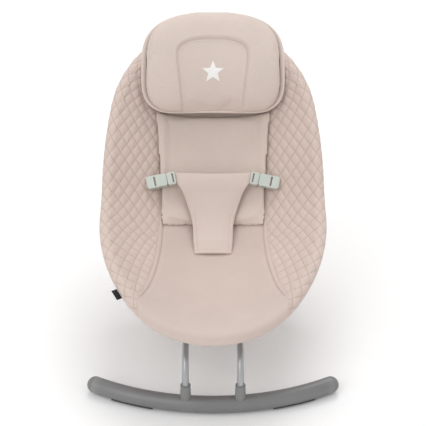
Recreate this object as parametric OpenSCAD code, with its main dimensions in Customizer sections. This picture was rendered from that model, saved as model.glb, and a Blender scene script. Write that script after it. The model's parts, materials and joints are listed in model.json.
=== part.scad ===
// Baby bouncer seat: an oval tube ring with a hung fabric seat, on a two-bar folding stand.
// Millimetres, +Z up, the front faces -Y, and the origin is on the floor under the middle.

/* [Seat ring] */
// Height of the ring's lines at the hip, above the floor
hip_h = 245; // [225:1:280]
// Place of the hip along the depth, behind the stand's middle
hip_y0 = 10; // [-10:1:30]
// Half width of the ring, to the tube's axis
ring_half_w = 215; // [195:1:225]
// Slope of the back part above the horizontal
back_tilt = 42; // [34:1:48]
// Slope of the leg part above the horizontal
leg_tilt = 12; // [8:1:16]
// Bend radius between the two parts at the hip
hip_bend_r = 150; // [130:5:180]
// Diameter of the ring tube
ring_tube_d = 16; // [14:0.5:18]
// Wall of the ring tube
ring_tube_wall = 1.5; // [1:0.1:2]
// Side arc of the back part: radius
back_side_r = 1050; // [900:10:1200]
// Side arc of the back part: angle
back_side_a = 9.5; // [8:0.5:11]
// Shoulder arc of the back part: radius
shoulder_r = 224; // [200:1:240]
// Shoulder arc of the back part: angle
shoulder_a = 42.4; // [38:0.2:46]
// Side arc of the leg part: radius
leg_side_r = 458; // [430:1:480]
// Side arc of the leg part: angle
leg_side_a = 30.7; // [28:0.1:32]
// Corner arc of the leg part: radius
leg_corner_r = 289; // [270:1:310]
// Corner arc of the leg part: angle
leg_corner_a = 9; // [7:0.5:12]

/* [Fabric] */
// Outer diameter of the fabric sleeve round the ring tube
sleeve_d = 24; // [21:0.5:27]
// Depth of the hung seat under the ring at the hip
seat_sag = 85; // [70:1:95]
// Depth of the hung seat at the top end
top_sag = 5; // [3:1:12]
// Depth of the hung seat at the front end
front_sag = 10; // [5:1:16]
// Thickness of the quilted and plain panels
panel_t = 3; // [2:0.5:5]
// Half width of the middle panel at the hip
middle_half_w = 104; // [90:1:115]
// Thickness of the newborn insert
insert_t = 12; // [8:1:16]
// Thickness of the head pillow
pillow_t = 34; // [24:1:44]
// Width of the head pillow
pillow_w = 314; // [280:2:330]
// Length of the head pillow along the back
pillow_l = 222; // [190:2:240]
// Thickness of the crotch flap
flap_t = 5; // [3:0.5:8]

/* [Harness] */
// Width of the belt webbing
belt_w = 20; // [15:1:21]
// Thickness of the belt webbing
belt_t = 1.4; // [1:0.1:1.8]
// Width of a buckle across the belt
buckle_w = 27; // [25:0.5:30]
// Thickness of a buckle
buckle_t = 11; // [10:0.5:13]
// Pull-out travel of a buckle's plug
plug_travel = 20; // [10:1:20]

/* [Stand] */
// Diameter of the floor bars
bar_d = 32; // [28:1:36]
// Wall of the floor bars
bar_wall = 2; // [1.5:0.1:3]
// Bow radius of the floor bars
bar_bow_r = 462; // [420:2:520]
// Half angle of the floor bars' bow
bar_half_a = 29; // [26:0.5:31]
// Distance of each floor bar's middle from the stand's middle
bar_reach = 350; // [335:1:380]
// Height of the rubber under the bars
grip_t = 1.5; // [1:0.5:3]
// Diameter of the leg tubes
leg_d = 12.6; // [11:0.2:14]
// Wall of the leg tubes
leg_wall = 1.2; // [1:0.1:1.6]
// Distance of the leg tubes from the middle plane
leg_x = 50.8; // [48:0.2:52]
// Bend radius of the leg tubes
leg_bend_r = 52; // [45:1:60]
// Slope of the front tubes towards the hub
front_leg_slope = 11; // [10:0.5:13]
// Slope of the rear tubes towards the hub
rear_leg_slope = 15; // [14:0.5:17]
// Top of the sockets above the floor
socket_top = 61; // [56:1:64]

/* [Hub] */
// Height of the front tubes' axes in the hub
hub_z = 74; // [72:1:78]
// Half width of the hub
hub_half_w = 70; // [68:0.5:74]
// Half length of the hub
hub_half_l = 62; // [60:1:66]
// Diameter of the pin that the rear legs fold about
leg_pin_d = 8; // [7:0.5:9]
// Travel of the fold buttons
button_travel = 3; // [2:0.5:4]
// Diameter of the pin that the carrier rocks on
rock_pin_d = 8; // [7:0.5:9]
// Diameter of the cross tube under the seat
cross_tube_d = 19; // [17:0.5:21]
// Wall of the cross tube
cross_tube_wall = 1.5; // [1.2:0.1:2]
// Height of the recline axis
recline_z = 107; // [106:0.5:109]

/* [Fits] */
// Gap between pieces that move past each other
gap = 0.3; // [0.2:0.05:0.5]
// Radial play of a shaft in its bearing
play = 0.05; // [0.02:0.01:0.1]
// Radial play of a tube in its socket
seat_play = 0.1; // [0.05:0.05:0.2]

/* [Hidden] */
$fn = 64;

sand = [0.86, 0.80, 0.76];
bar_grey = [0.55, 0.56, 0.57];
tube_grey = [0.72, 0.73, 0.74];
hub_grey = [0.45, 0.46, 0.47];
buckle_grey = [0.78, 0.81, 0.79];
rubber = [0.2, 0.2, 0.21];

// ---- the ring's line, seen from the side: two straight slopes joined by the hip bend
hip_half_a = (back_tilt - leg_tilt) / 2;
hip_mid_a = (back_tilt + leg_tilt) / 2;
hip_half_s = hip_bend_r * hip_half_a * PI / 180;
bend_y = hip_y0 - sin(hip_mid_a) * hip_bend_r / cos(hip_half_a);
bend_z = hip_h + cos(hip_mid_a) * hip_bend_r / cos(hip_half_a);
hip_y = bend_y + hip_bend_r * sin(hip_mid_a);
hip_z = bend_z - hip_bend_r * cos(hip_mid_a);
function kept(s) = max(-hip_half_s, min(hip_half_s, s));
function tilt_at(s) = hip_mid_a + kept(s) / hip_bend_r * 180 / PI;
function line_y(s) = bend_y + hip_bend_r * sin(tilt_at(s)) + (s - kept(s)) * cos(tilt_at(s));
function line_z(s) = bend_z - hip_bend_r * cos(tilt_at(s)) + (s - kept(s)) * sin(tilt_at(s));
// a point at length s along the ring's line, x to the side and d below the ring
function under(s, x, d) = [x, line_y(s) + d * sin(tilt_at(s)), line_z(s) - d * cos(tilt_at(s))];

// ---- the ring's outline from above: three arcs a side, the last one closes on the middle plane
function end_r(r3, a3, r2, a2) =
  (ring_half_w - r3 * (1 - cos(a3)) - r2 * (cos(a3) - cos(a3 + a2))) / cos(a3 + a2);
function end_s(r3, a3, r2, a2) =
  hip_half_s + r3 * sin(a3) + r2 * (sin(a3 + a2) - sin(a3))
  + end_r(r3, a3, r2, a2) * (1 - sin(a3 + a2));
crown_r = end_r(back_side_r, back_side_a, shoulder_r, shoulder_a);
crown_s = end_s(back_side_r, back_side_a, shoulder_r, shoulder_a);
toe_r = end_r(leg_side_r, leg_side_a, leg_corner_r, leg_corner_a);
toe_s = end_s(leg_side_r, leg_side_a, leg_corner_r, leg_corner_a);
// half width at distance t from the hip, d inside the tube's axis
function half_w(t, d, r3, a3, r2, a2, r1, last) =
  let (t1 = hip_half_s + (r3 - d) * sin(a3))
  let (c2 = [ring_half_w - (r3 - r2) * (1 - cos(a3)) - r2, hip_half_s + (r3 - r2) * sin(a3)])
  let (t2 = c2[1] + (r2 - d) * sin(a3 + a2))
  t <= hip_half_s ? ring_half_w - d
  : t <= t1 ? ring_half_w - r3 + sqrt(pow(r3 - d, 2) - pow(t - hip_half_s, 2))
  : t <= t2 ? c2[0] + sqrt(pow(r2 - d, 2) - pow(t - c2[1], 2))
  : sqrt(max(0, pow(r1 - d, 2) - pow(t - last + r1, 2)));
function ring_w(s, d) = s > 0
  ? half_w(s, d, back_side_r, back_side_a, shoulder_r, shoulder_a, crown_r, crown_s)
  : half_w(-s, d, leg_side_r, leg_side_a, leg_corner_r, leg_corner_a, toe_r, toe_s);

// ---- the hung seat
panel_edge = sleeve_d / 2 + gap;
function sag_at(s) = s > 0
  ? top_sag + (seat_sag - top_sag) * (1 - pow(min(1, s / crown_s), 2.5))
  : front_sag + (seat_sag - front_sag) * (1 - pow(min(1, -s / toe_s), 2));
function depth(s, x) =
  sag_at(s) * (1 - pow(min(1, abs(x) / max(1, ring_w(s, panel_edge))), 2.2));
seam_flare = 0.00046;
function seam_w(s) = middle_half_w + (s < 0 ? seam_flare * s * s : 0);
sheet_end = 2;

// ---- weld rings between the stretches of a bent tube
weld_l = 2;
weld_rise = 0.08;

// ---- harness and pillow places
buckle_s = 61;
buckle_x = 108.5;
buckle_turn = 12;
buckle_half_l = 30.5;
buckle_depth = depth(buckle_s - buckle_half_l * sin(buckle_turn), buckle_x + buckle_half_l) - 7.7;
mouth_x = -12;
plug_face = mouth_x - 1;
flap_front_s = -66;
flap_back_s = 80;
flap_front_half_w = 38.5;
flap_flare = 14;
insert_front_s = -2;
insert_back_s = 215;
insert_half_w = 107;
insert_flare = 19;
layer_gap = 1.8;
pillow_s = 313;
pillow_lift = 14;

// ---- stand places
bar_z = bar_d / 2 + grip_t;
bow_y = bar_bow_r - bar_reach;
leg_y = sqrt(pow(bar_bow_r, 2) - pow(leg_x, 2)) - bow_y;
leg_foot_z = bar_z + 4;
hub_bottom = hub_z - 12;
hub_top = hub_z + 14;
cavity_half_w = hub_half_w - 8;
cavity_front = -4;
cavity_back = hub_half_l - 8;
leg_pin_y = hub_half_l + 18;
leg_pin_z = hub_z - 16;
knuckle_r = 12;
ear_t = 8.5;
ear_inner = hub_half_w - ear_t;
button_y = 40;
button_d = 16;
button_flange = 1.4;
rock_y = -40;
rock_z = recline_z - 9;
rock_lug_r = 9;
rock_ear_x = 40;
rock_ear_t = 7;
bush_l = 18;
carrier_bottom = recline_z - 12;
carrier_half_w = 36;
bearing_x = 14;
bearing_r = 16;
cap_foot = 25;
screw_d = 4;
lever_y = 50;
lever_z = recline_z + 21;
lever_pin_d = 5;
lever_half_w = 8.5;
lever_hub_r = 6.5;
lever_arm_t = 5;
sector_hub_r = cross_tube_d / 2 + 4;
sector_hub_half = 10;
sector_r = 28;
sector_floor = 24.5;
tooth_a = 12;

// ---- helpers
// draws a tube along a path of [length], [radius, angle] and [0, 0, roll] steps, from +Z;
// a thin weld ring joins each stretch to the next
module run(path, r, wall, i = 0) {
  if (i > 0 && i < len(path) && len(path[max(0, i - 1)]) < 3) {
    translate([0, 0, -weld_l / 2]) linear_extrude(weld_l) ring2d(r + weld_rise, wall + 2 * weld_rise);
  }
  if (i < len(path)) {
    step = path[i];
    if (len(step) == 1) {
      linear_extrude(step[0]) ring2d(r, wall);
      translate([0, 0, step[0]]) run(path, r, wall, i + 1);
    }
    if (len(step) == 2) {
      way = step[1] < 0 ? 1 : 0;
      mirror([way, 0, 0])
        translate([step[0], 0, 0])
          mirror([1, 0, 0])
            rotate([90, 0, 0])
              rotate_extrude(angle = abs(step[1])) translate([step[0], 0]) ring2d(r, wall);
      translate([(way == 1 ? -1 : 1) * step[0] * (1 - cos(step[1])), 0, step[0] * sin(abs(step[1]))])
        rotate([0, step[1], 0]) run(path, r, wall, i + 1);
    }
    if (len(step) == 3) {
      rotate([0, 0, step[2]]) run(path, r, wall, i + 1);
    }
  }
}

module ring2d(r, wall) {
  difference() {
    circle(r = r);
    circle(r = r - wall);
  }
}

module rounded2d(x, y, r) {
  square([x - 2 * r, y], center = true);
  square([x, y - 2 * r], center = true);
  for (i = [-1, 1], j = [-1, 1]) {
    translate([i * (x / 2 - r), j * (y / 2 - r)]) circle(r = r);
  }
}

// a cylinder along X, centred on [y, z]
module x_rod(r, from, to, y, z) {
  translate([from, y, z]) rotate([0, 90, 0]) cylinder(r = r, h = to - from);
}

// a box between two corners
module block(low, high) {
  translate(low) cube(high - low);
}

// a closed solid between two grids of points, given as functions of i (0..n) and j (0..m)
module sheet(n, m, top, bottom) {
  w = m + 1;
  k = (n + 1) * w;
  points = concat(
    [for (i = [0:n], j = [0:m]) top(i, j)],
    [for (i = [0:n], j = [0:m]) bottom(i, j)]
  );
  upper = [for (i = [0:n - 1], j = [0:m - 1]) let (a = i * w + j)
    each [[a, a + w, a + w + 1], [a, a + w + 1, a + 1]]];
  lower = [for (i = [0:n - 1], j = [0:m - 1]) let (a = k + i * w + j)
    each [[a, a + w + 1, a + w], [a, a + 1, a + w + 1]]];
  front = [for (j = [0:m - 1]) each [[k + j, j, j + 1], [k + j, j + 1, k + j + 1]]];
  back = [for (j = [0:m - 1]) let (a = n * w + j)
    each [[k + a + 1, a + 1, a], [k + a + 1, a, k + a]]];
  left = [for (i = [0:n - 1]) let (a = i * w)
    each [[k + a + w, a + w, a], [k + a + w, a, k + a]]];
  right = [for (i = [0:n - 1]) let (a = i * w + m)
    each [[k + a, a, a + w], [k + a, a + w, k + a + w]]];
  polyhedron(points = points, faces = concat(upper, lower, front, back, left, right));
}

// moves its child on to the hung seat: X to the side, Y up the back, Z out of the seat
module on_seat(s, d) {
  translate(under(s, 0, d)) rotate([tilt_at(s), 0, 0]) children();
}

// puts its child where the buckle of one side lies, with X towards that side's edge
module at_buckle(side) {
  mirror([side < 0 ? 1 : 0, 0, 0])
    on_seat(buckle_s, buckle_depth)
      translate([buckle_x, 0, 0]) rotate([0, 0, -buckle_turn]) children();
}

module side_of(side) {
  mirror([side < 0 ? 1 : 0, 0, 0]) children();
}

module end_of(back) {
  mirror([0, back ? 1 : 0, 0]) children();
}

// ---- floor bars
module bow(half_a) {
  translate([0, bow_y, bar_z])
    rotate([0, 0, -90 - half_a])
      rotate_extrude(angle = 2 * half_a) translate([bar_bow_r, 0]) children();
}

module floor_bar() {
  color(bar_grey)
    difference() {
      bow(bar_half_a) ring2d(bar_d / 2, bar_wall);
      for (side = [-1, 1]) {
        translate([side * leg_x, -leg_y, bar_z]) cylinder(r = leg_d / 2 + gap, h = bar_d);
      }
    }
}

module end_caps() {
  stem_r = bar_d / 2 - bar_wall - seat_play;
  color(hub_grey)
    for (side = [-1, 1]) {
      translate([0, bow_y, bar_z])
        rotate([0, 0, -90 + side * bar_half_a])
          translate([bar_bow_r, 0, 0]) {
            intersection() {
              sphere(r = bar_d / 2);
              block([-bar_d, min(0, side * bar_d), -bar_d], [bar_d, max(0, side * bar_d), bar_d]);
            }
            rotate([side * 90, 0, 0]) cylinder(r = stem_r, h = 14);
          }
    }
}

module grip_pads() {
  grip_a = 5;
  grip_rise = 5;
  color(rubber)
    for (side = [-1, 1]) {
      translate([0, bow_y, bar_z])
        rotate([0, 0, -90 + side * 19 - grip_a])
          rotate_extrude(angle = 2 * grip_a)
            translate([bar_bow_r, 0])
              difference() {
                intersection() {
                  circle(r = bar_d / 2 + grip_t + 1);
                  translate([-bar_d / 2, -bar_z]) square([bar_d, grip_rise]);
                }
                circle(r = bar_d / 2);
              }
    }
}

module socket() {
  color(bar_grey)
    difference() {
      translate([leg_x, -leg_y, bar_z + 6])
        cylinder(r1 = leg_d / 2 + 4.2, r2 = leg_d / 2 + 3, h = socket_top - bar_z - 6);
      bow(bar_half_a) circle(r = bar_d / 2);
      translate([leg_x, -leg_y, 0]) cylinder(r = leg_d / 2 + seat_play, h = 2 * socket_top);
    }
}

// ---- leg tubes
front_rise = hub_z + leg_bend_r * (1 - cos(front_leg_slope));
front_up = 62 - leg_foot_z;
front_high = 62 + leg_bend_r * cos(front_leg_slope);
front_run = (front_high - front_rise) / sin(front_leg_slope);
front_bend_end = -leg_y + leg_bend_r * (1 + sin(front_leg_slope))
  + front_run * cos(front_leg_slope) + leg_bend_r * sin(front_leg_slope);

module front_tube() {
  color(tube_grey)
    translate([leg_x, -leg_y, leg_foot_z])
      rotate([0, 0, 90])
        run([[front_up], [leg_bend_r, 90 + front_leg_slope], [front_run],
             [leg_bend_r, -front_leg_slope], [cavity_front - gap - front_bend_end]],
            leg_d / 2, leg_wall);
}

knuckle_end = 12;
rear_bend_y = leg_y - leg_bend_r * (1 + sin(rear_leg_slope));
rear_run = (rear_bend_y - leg_pin_y) / cos(rear_leg_slope);
rear_bend_z = leg_pin_z + (rear_bend_y - leg_pin_y) * tan(rear_leg_slope);
rear_up = rear_bend_z - leg_bend_r * cos(rear_leg_slope) - leg_foot_z;

module rear_tube() {
  color(tube_grey)
    translate([leg_x, leg_y, leg_foot_z])
      rotate([0, 0, -90])
        run([[rear_up], [leg_bend_r, 90 + rear_leg_slope], [rear_run - knuckle_end]],
            leg_d / 2, leg_wall);
}

// ---- hub
module hub_outline() {
  rounded2d(2 * hub_half_w, 2 * hub_half_l, 10);
}

module hub_voids() {
  block([-cavity_half_w, cavity_front, hub_bottom + 2], [cavity_half_w, cavity_back, hub_top - 3]);
  for (side = [-1, 1]) {
    translate([side * leg_x, 0, hub_z])
      rotate([90, 0, 0]) cylinder(r = leg_d / 2 + seat_play, h = hub_half_l + 1);
  }
  x_rod(button_d / 2 + gap, -hub_half_w - 1, hub_half_w + 1, button_y, hub_z);
}

screw_places = [[-30, -50], [30, -50], [-30, -12], [30, -12]];
module hub_screw_holes() {
  for (p = screw_places) {
    translate([p[0], p[1], hub_bottom - 1]) cylinder(r = screw_d / 2, h = 22);
    translate([p[0], p[1], hub_bottom - 1]) cylinder(r = screw_d, h = 4);
  }
}

module hub_lower() {
  color(hub_grey)
    difference() {
      union() {
        translate([0, 0, hub_bottom]) linear_extrude(hub_z - hub_bottom) hub_outline();
        for (side = [-1, 1]) {
          x_rod(knuckle_r, min(side * ear_inner, side * hub_half_w),
                max(side * ear_inner, side * hub_half_w), leg_pin_y, leg_pin_z);
          block([min(side * ear_inner, side * hub_half_w), hub_half_l - 12, hub_bottom],
                [max(side * ear_inner, side * hub_half_w), leg_pin_y, leg_pin_z + knuckle_r]);
        }
      }
      hub_voids();
      hub_screw_holes();
      x_rod(leg_pin_d / 2, -hub_half_w - 1, hub_half_w + 1, leg_pin_y, leg_pin_z);
    }
}

module hub_upper() {
  color(hub_grey)
    difference() {
      union() {
        translate([0, 0, hub_z]) linear_extrude(hub_top - hub_z) hub_outline();
        for (side = [-1, 1]) {
          side_of(side) {
            block([rock_ear_x, rock_y - rock_lug_r, hub_top - 1],
                  [rock_ear_x + rock_ear_t, rock_y + rock_lug_r, rock_z]);
            x_rod(rock_lug_r, rock_ear_x, rock_ear_x + rock_ear_t, rock_y, rock_z);
          }
        }
      }
      hub_voids();
      hub_screw_holes();
      x_rod(rock_pin_d / 2, -rock_ear_x - rock_ear_t - 1, rock_ear_x + rock_ear_t + 1, rock_y, rock_z);
    }
}

module hub_screws() {
  color(tube_grey)
    for (p = screw_places) {
      translate([p[0], p[1], hub_bottom]) cylinder(r = screw_d - seat_play, h = 3);
      translate([p[0], p[1], hub_bottom]) cylinder(r = screw_d / 2 - seat_play, h = 20);
    }
}

// a pin along X with a flat head at each end
module headed_pin(r, half_l, y, z) {
  color(tube_grey) {
    x_rod(r, -half_l, half_l, y, z);
    for (side = [-1, 1]) {
      side_of(side) x_rod(r + 2, half_l, half_l + 2, y, z);
    }
  }
}

module stop_buffers() {
  color(rubber)
    for (side = [-1, 1]) {
      translate([side * 26, 26, hub_top]) cylinder(r = 6, h = 2);
    }
}

module leg_knuckle() {
  color(hub_grey)
    difference() {
      union() {
        x_rod(knuckle_r - 3, -ear_inner + gap, ear_inner - gap, leg_pin_y, leg_pin_z);
        for (side = [-1, 1]) {
          side_of(side) {
            x_rod(knuckle_r, leg_x - 12, ear_inner - gap, leg_pin_y, leg_pin_z);
            translate([leg_x, leg_pin_y, leg_pin_z])
              rotate([rear_leg_slope - 90, 0, 0]) cylinder(r = leg_d / 2 + 3, h = 36);
          }
        }
      }
      x_rod(leg_pin_d / 2 + play, -hub_half_w, hub_half_w, leg_pin_y, leg_pin_z);
      for (side = [-1, 1]) {
        side_of(side)
          translate([leg_x, leg_pin_y, leg_pin_z])
            rotate([rear_leg_slope - 90, 0, 0])
              translate([0, 0, knuckle_end]) cylinder(r = leg_d / 2 + seat_play, h = 40);
      }
    }
}

button_inner = cavity_half_w - 4.5;
module fold_button() {
  color(buckle_grey) {
    x_rod(button_d / 2, button_inner, hub_half_w + button_travel + 0.5, button_y, hub_z);
    x_rod(button_d / 2 + button_flange, button_inner, cavity_half_w - gap, button_y, hub_z);
  }
}

// a coil spring along X between the two buttons
module button_spring() {
  turns = 9;
  per_turn = 8;
  sides = 5;
  coil_r = 5;
  wire_r = 0.6;
  half_l = button_inner - button_travel - 2 * wire_r;
  rings = turns * per_turn;
  points = [for (i = [0:rings], j = [0:sides - 1])
    let (a = 360 * i / per_turn, b = 360 * j / sides, r = coil_r + wire_r * cos(b))
    [-half_l + 2 * half_l * i / rings + wire_r * sin(b), button_y + r * cos(a), hub_z + r * sin(a)]];
  skin = [for (i = [0:rings - 1], j = [0:sides - 1])
    let (p = i * sides + j, q = i * sides + (j + 1) % sides)
    each [[p, q, q + sides], [p, q + sides, p + sides]]];
  first = [for (j = [sides - 1:-1:0]) j];
  last = [for (j = [0:sides - 1]) rings * sides + j];
  color(tube_grey) polyhedron(points = points, faces = concat(skin, [first], [last]));
}

// ---- carrier
module carrier_base() {
  color(hub_grey)
    difference() {
      union() {
        block([-carrier_half_w, rock_y, carrier_bottom], [carrier_half_w, lever_y - 4, carrier_bottom + 6]);
        x_rod(rock_lug_r, -rock_ear_x + gap, rock_ear_x - gap, rock_y, rock_z);
        for (side = [-1, 1]) {
          side_of(side) {
            block([bearing_x, hip_y - cap_foot, carrier_bottom], [carrier_half_w, hip_y + cap_foot, recline_z]);
            block([lever_half_w + gap, lever_y - 8, carrier_bottom], [bearing_x, lever_y + 7, lever_z]);
            x_rod(7, lever_half_w + gap, bearing_x, lever_y, lever_z);
          }
        }
      }
      x_rod(rock_lug_r - 2, -rock_ear_x, rock_ear_x, rock_y, rock_z);
      x_rod(cross_tube_d / 2 + play, -carrier_half_w - 1, carrier_half_w + 1, hip_y, recline_z);
      x_rod(lever_pin_d / 2, -bearing_x - 1, bearing_x + 1, lever_y, lever_z);
      block([-4, hip_y, carrier_bottom - 1], [4, lever_y, carrier_bottom + 7]);
      block([-sector_hub_half - 2 * gap, hip_y - sector_hub_r - 1, carrier_bottom - 1],
            [sector_hub_half + 2 * gap, hip_y + sector_hub_r + 1, carrier_bottom + 7]);
      cap_screw_places() cylinder(r = screw_d / 2, h = 12);
    }
}

module cap_screw_places() {
  for (side = [-1, 1], end = [-1, 1]) {
    translate([side * (bearing_x + carrier_half_w) / 2, hip_y + end * (cap_foot - 4), recline_z - 8]) children();
  }
}

module carrier_caps() {
  color(hub_grey)
    difference() {
      for (side = [-1, 1]) {
        side_of(side) {
          intersection() {
            x_rod(bearing_r, bearing_x, carrier_half_w, hip_y, recline_z);
            block([bearing_x, hip_y - bearing_r, recline_z], [carrier_half_w, hip_y + bearing_r, recline_z + bearing_r]);
          }
          block([bearing_x, hip_y - cap_foot, recline_z], [carrier_half_w, hip_y + cap_foot, recline_z + 4]);
        }
      }
      x_rod(cross_tube_d / 2 + play, -carrier_half_w - 1, carrier_half_w + 1, hip_y, recline_z);
      cap_screw_places() cylinder(r = screw_d / 2, h = 20);
    }
}

module cap_screws() {
  color(tube_grey)
    cap_screw_places() {
      cylinder(r = screw_d / 2 - seat_play, h = 12);
      translate([0, 0, 12]) cylinder(r = screw_d - 0.5, h = 2.4);
    }
}

module rock_bushes() {
  color(rubber)
    for (side = [-1, 1]) {
      side_of(side)
        difference() {
          x_rod(rock_lug_r - 2, rock_ear_x - gap - bush_l, rock_ear_x - gap, rock_y, rock_z);
          x_rod(rock_pin_d / 2 + play, 0, rock_ear_x, rock_y, rock_z);
        }
    }
}

module recline_lever() {
  tip_y = hip_y + (sector_floor + gap) * cos(tooth_a);
  tip_z = recline_z + (sector_floor + gap) * sin(tooth_a);
  color(buckle_grey)
    difference() {
      union() {
        x_rod(lever_hub_r, -lever_half_w, lever_half_w, lever_y, lever_z);
        hull() {
          x_rod(4, -3, 3, lever_y, lever_z);
          x_rod(1.6, -3, 3, tip_y + 2, tip_z + 1);
        }
        block([-6, lever_y, lever_z - lever_arm_t / 2], [6, lever_y + 48, lever_z + lever_arm_t / 2]);
        translate([0, lever_y + 52, lever_z - lever_arm_t / 2])
          linear_extrude(lever_arm_t) rounded2d(56, 22, 8);
      }
      x_rod(lever_pin_d / 2 + play, -lever_half_w - 1, lever_half_w + 1, lever_y, lever_z);
    }
}

// ---- cross tube and recline sector
cross_bend_r = 93;
module cross_tube() {
  top_z = hip_z - ring_tube_d / 2 - 6;
  color(tube_grey)
    translate([ring_half_w, hip_y, top_z])
      rotate([0, 180, 0])
        run([[top_z - recline_z - cross_bend_r], [cross_bend_r, 90],
             [2 * (ring_half_w - cross_bend_r)], [cross_bend_r, 90],
             [top_z - recline_z - cross_bend_r]],
            cross_tube_d / 2, cross_tube_wall);
}

module fan(from, to, r_in, r_out, half_t) {
  // the plane of the fan is Y-Z: angles run from +Y towards +Z
  translate([0, hip_y, recline_z])
    rotate([90, 0, 90])
      rotate([0, 0, from])
        rotate_extrude(angle = to - from)
          translate([r_in, -half_t]) square([r_out - r_in, 2 * half_t]);
}

module recline_sector() {
  color(tube_grey) {
    difference() {
      x_rod(sector_hub_r, -sector_hub_half, sector_hub_half, hip_y, recline_z);
      x_rod(cross_tube_d / 2, -sector_hub_half - 1, sector_hub_half + 1, hip_y, recline_z);
    }
    fan(-10, 50, cross_tube_d / 2 + 2, sector_floor, 2.5);
    fan(-10, -3, sector_floor - 1, sector_r, 2.5);
    fan(43, 50, sector_floor - 1, sector_r, 2.5);
  }
}

// ---- seat ring
joint_s = 22;
joint_a = joint_s / hip_bend_r * 180 / PI;

// follows the ring from distance joint_s past the hip on the right side to the same on the left
module ring_path(up, r3, a3, r2, a2, r1, start, r, wall) {
  from_a = start / hip_bend_r * 180 / PI;
  turn = up ? 1 : -1;
  translate([ring_half_w, line_y(turn * start), line_z(turn * start)])
    rotate([tilt_at(turn * start) - (up ? 90 : -90), 0, 0])
      rotate([0, 0, up ? 90 : -90])
        run([[hip_bend_r, -(hip_half_a - from_a)], [0, 0, up ? 90 : -90], [r3, a3], [r2, a2],
             [r1, 2 * (90 - a3 - a2)], [r2, a2], [r3, a3], [0, 0, up ? -90 : 90],
             [hip_bend_r, -(hip_half_a - from_a)]],
            r, wall);
}

module back_path(start, r, wall) {
  ring_path(true, back_side_r, back_side_a, shoulder_r, shoulder_a, crown_r, start, r, wall);
}

module leg_path(start, r, wall) {
  ring_path(false, leg_side_r, leg_side_a, leg_corner_r, leg_corner_a, toe_r, start, r, wall);
}

module ring_tube_back() {
  color(tube_grey) back_path(1, ring_tube_d / 2, ring_tube_wall);
}

module ring_tube_leg() {
  color(tube_grey) leg_path(1, ring_tube_d / 2, ring_tube_wall);
}

sleeve_wall = (sleeve_d - ring_tube_d) / 2 - gap;
module sleeve_back() {
  color(sand) back_path(joint_s, sleeve_d / 2, sleeve_wall);
}

module sleeve_leg() {
  color(sand) leg_path(joint_s, sleeve_d / 2, sleeve_wall);
}

module hip_joint() {
  r = sleeve_d / 2 - 1;
  color(hub_grey)
    difference() {
      union() {
        translate([ring_half_w, bend_y, bend_z])
          rotate([90, 0, 90])
            rotate([0, 0, -90 + hip_mid_a - joint_a + 0.1])
              rotate_extrude(angle = 2 * joint_a - 0.2) translate([hip_bend_r, 0]) circle(r = r);
        translate([ring_half_w, hip_y, hip_z - 34]) cylinder(r = cross_tube_d / 2 + 3, h = 34 - ring_tube_d / 2);
      }
      translate([ring_half_w, bend_y, bend_z])
        rotate([90, 0, 90])
          rotate([0, 0, -90 + hip_mid_a - 2 * joint_a])
            rotate_extrude(angle = 4 * joint_a)
              translate([hip_bend_r, 0]) circle(r = ring_tube_d / 2 + seat_play);
      translate([ring_half_w, hip_y, hip_z - 40])
        cylinder(r = cross_tube_d / 2 + seat_play, h = 40 - ring_tube_d / 2 - 6 + gap);
    }
}

// ---- fabric seat
side_n = 26;
side_m = 7;
// room between the seam and the ring at s, and the place where it runs out
function side_room(s) = ring_w(s, panel_edge) - seam_w(s) - gap - sheet_end;
function room_end(near, far, steps = 20) =
  let (middle = (near + far) / 2)
  steps == 0 ? near
  : side_room(middle) > 0 ? room_end(middle, far, steps - 1)
  : room_end(near, middle, steps - 1);
side_front_s = room_end(0, -toe_s);
side_back_s = room_end(0, crown_s);
function side_s(i) = side_front_s + (side_back_s - side_front_s) * i / side_n;
function side_x(s, j) =
  let (a = seam_w(s) + gap, b = ring_w(s, panel_edge))
  a + (b - a) * j / side_m;

module side_panel() {
  color(sand)
    sheet(side_n, side_m,
          function (i, j) let (s = side_s(i), x = side_x(s, j)) under(s, x, depth(s, x)),
          function (i, j) let (s = side_s(i), x = side_x(s, j)) under(s, x, depth(s, x) + panel_t));
}

mid_n = 30;
mid_m = 10;
function mid_s(i) =
  let (a = -toe_s + panel_edge + sheet_end, b = crown_s - panel_edge - sheet_end)
  (a + b) / 2 - (b - a) / 2 * cos(180 * i / mid_n);
function mid_x(s, j) = min(seam_w(s), ring_w(s, panel_edge)) * (2 * j / mid_m - 1);

module middle_panel() {
  color(sand)
    sheet(mid_n, mid_m,
          function (i, j) let (s = mid_s(i), x = mid_x(s, j)) under(s, x, depth(s, x)),
          function (i, j) let (s = mid_s(i), x = mid_x(s, j)) under(s, x, depth(s, x) + panel_t));
}

insert_n = 16;
insert_m = 8;
function insert_s(i) = insert_front_s + (insert_back_s - insert_front_s) * i / insert_n;
function insert_x(s, j) =
  (insert_half_w + insert_flare * max(0, s) / insert_back_s) * (2 * j / insert_m - 1);

module newborn_insert() {
  color(sand)
    sheet(insert_n, insert_m,
          function (i, j) let (s = insert_s(i), x = insert_x(s, j)) under(s, x, depth(s, x) - insert_t),
          function (i, j) let (s = insert_s(i), x = insert_x(s, j)) under(s, x, depth(s, x) - layer_gap));
}

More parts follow.
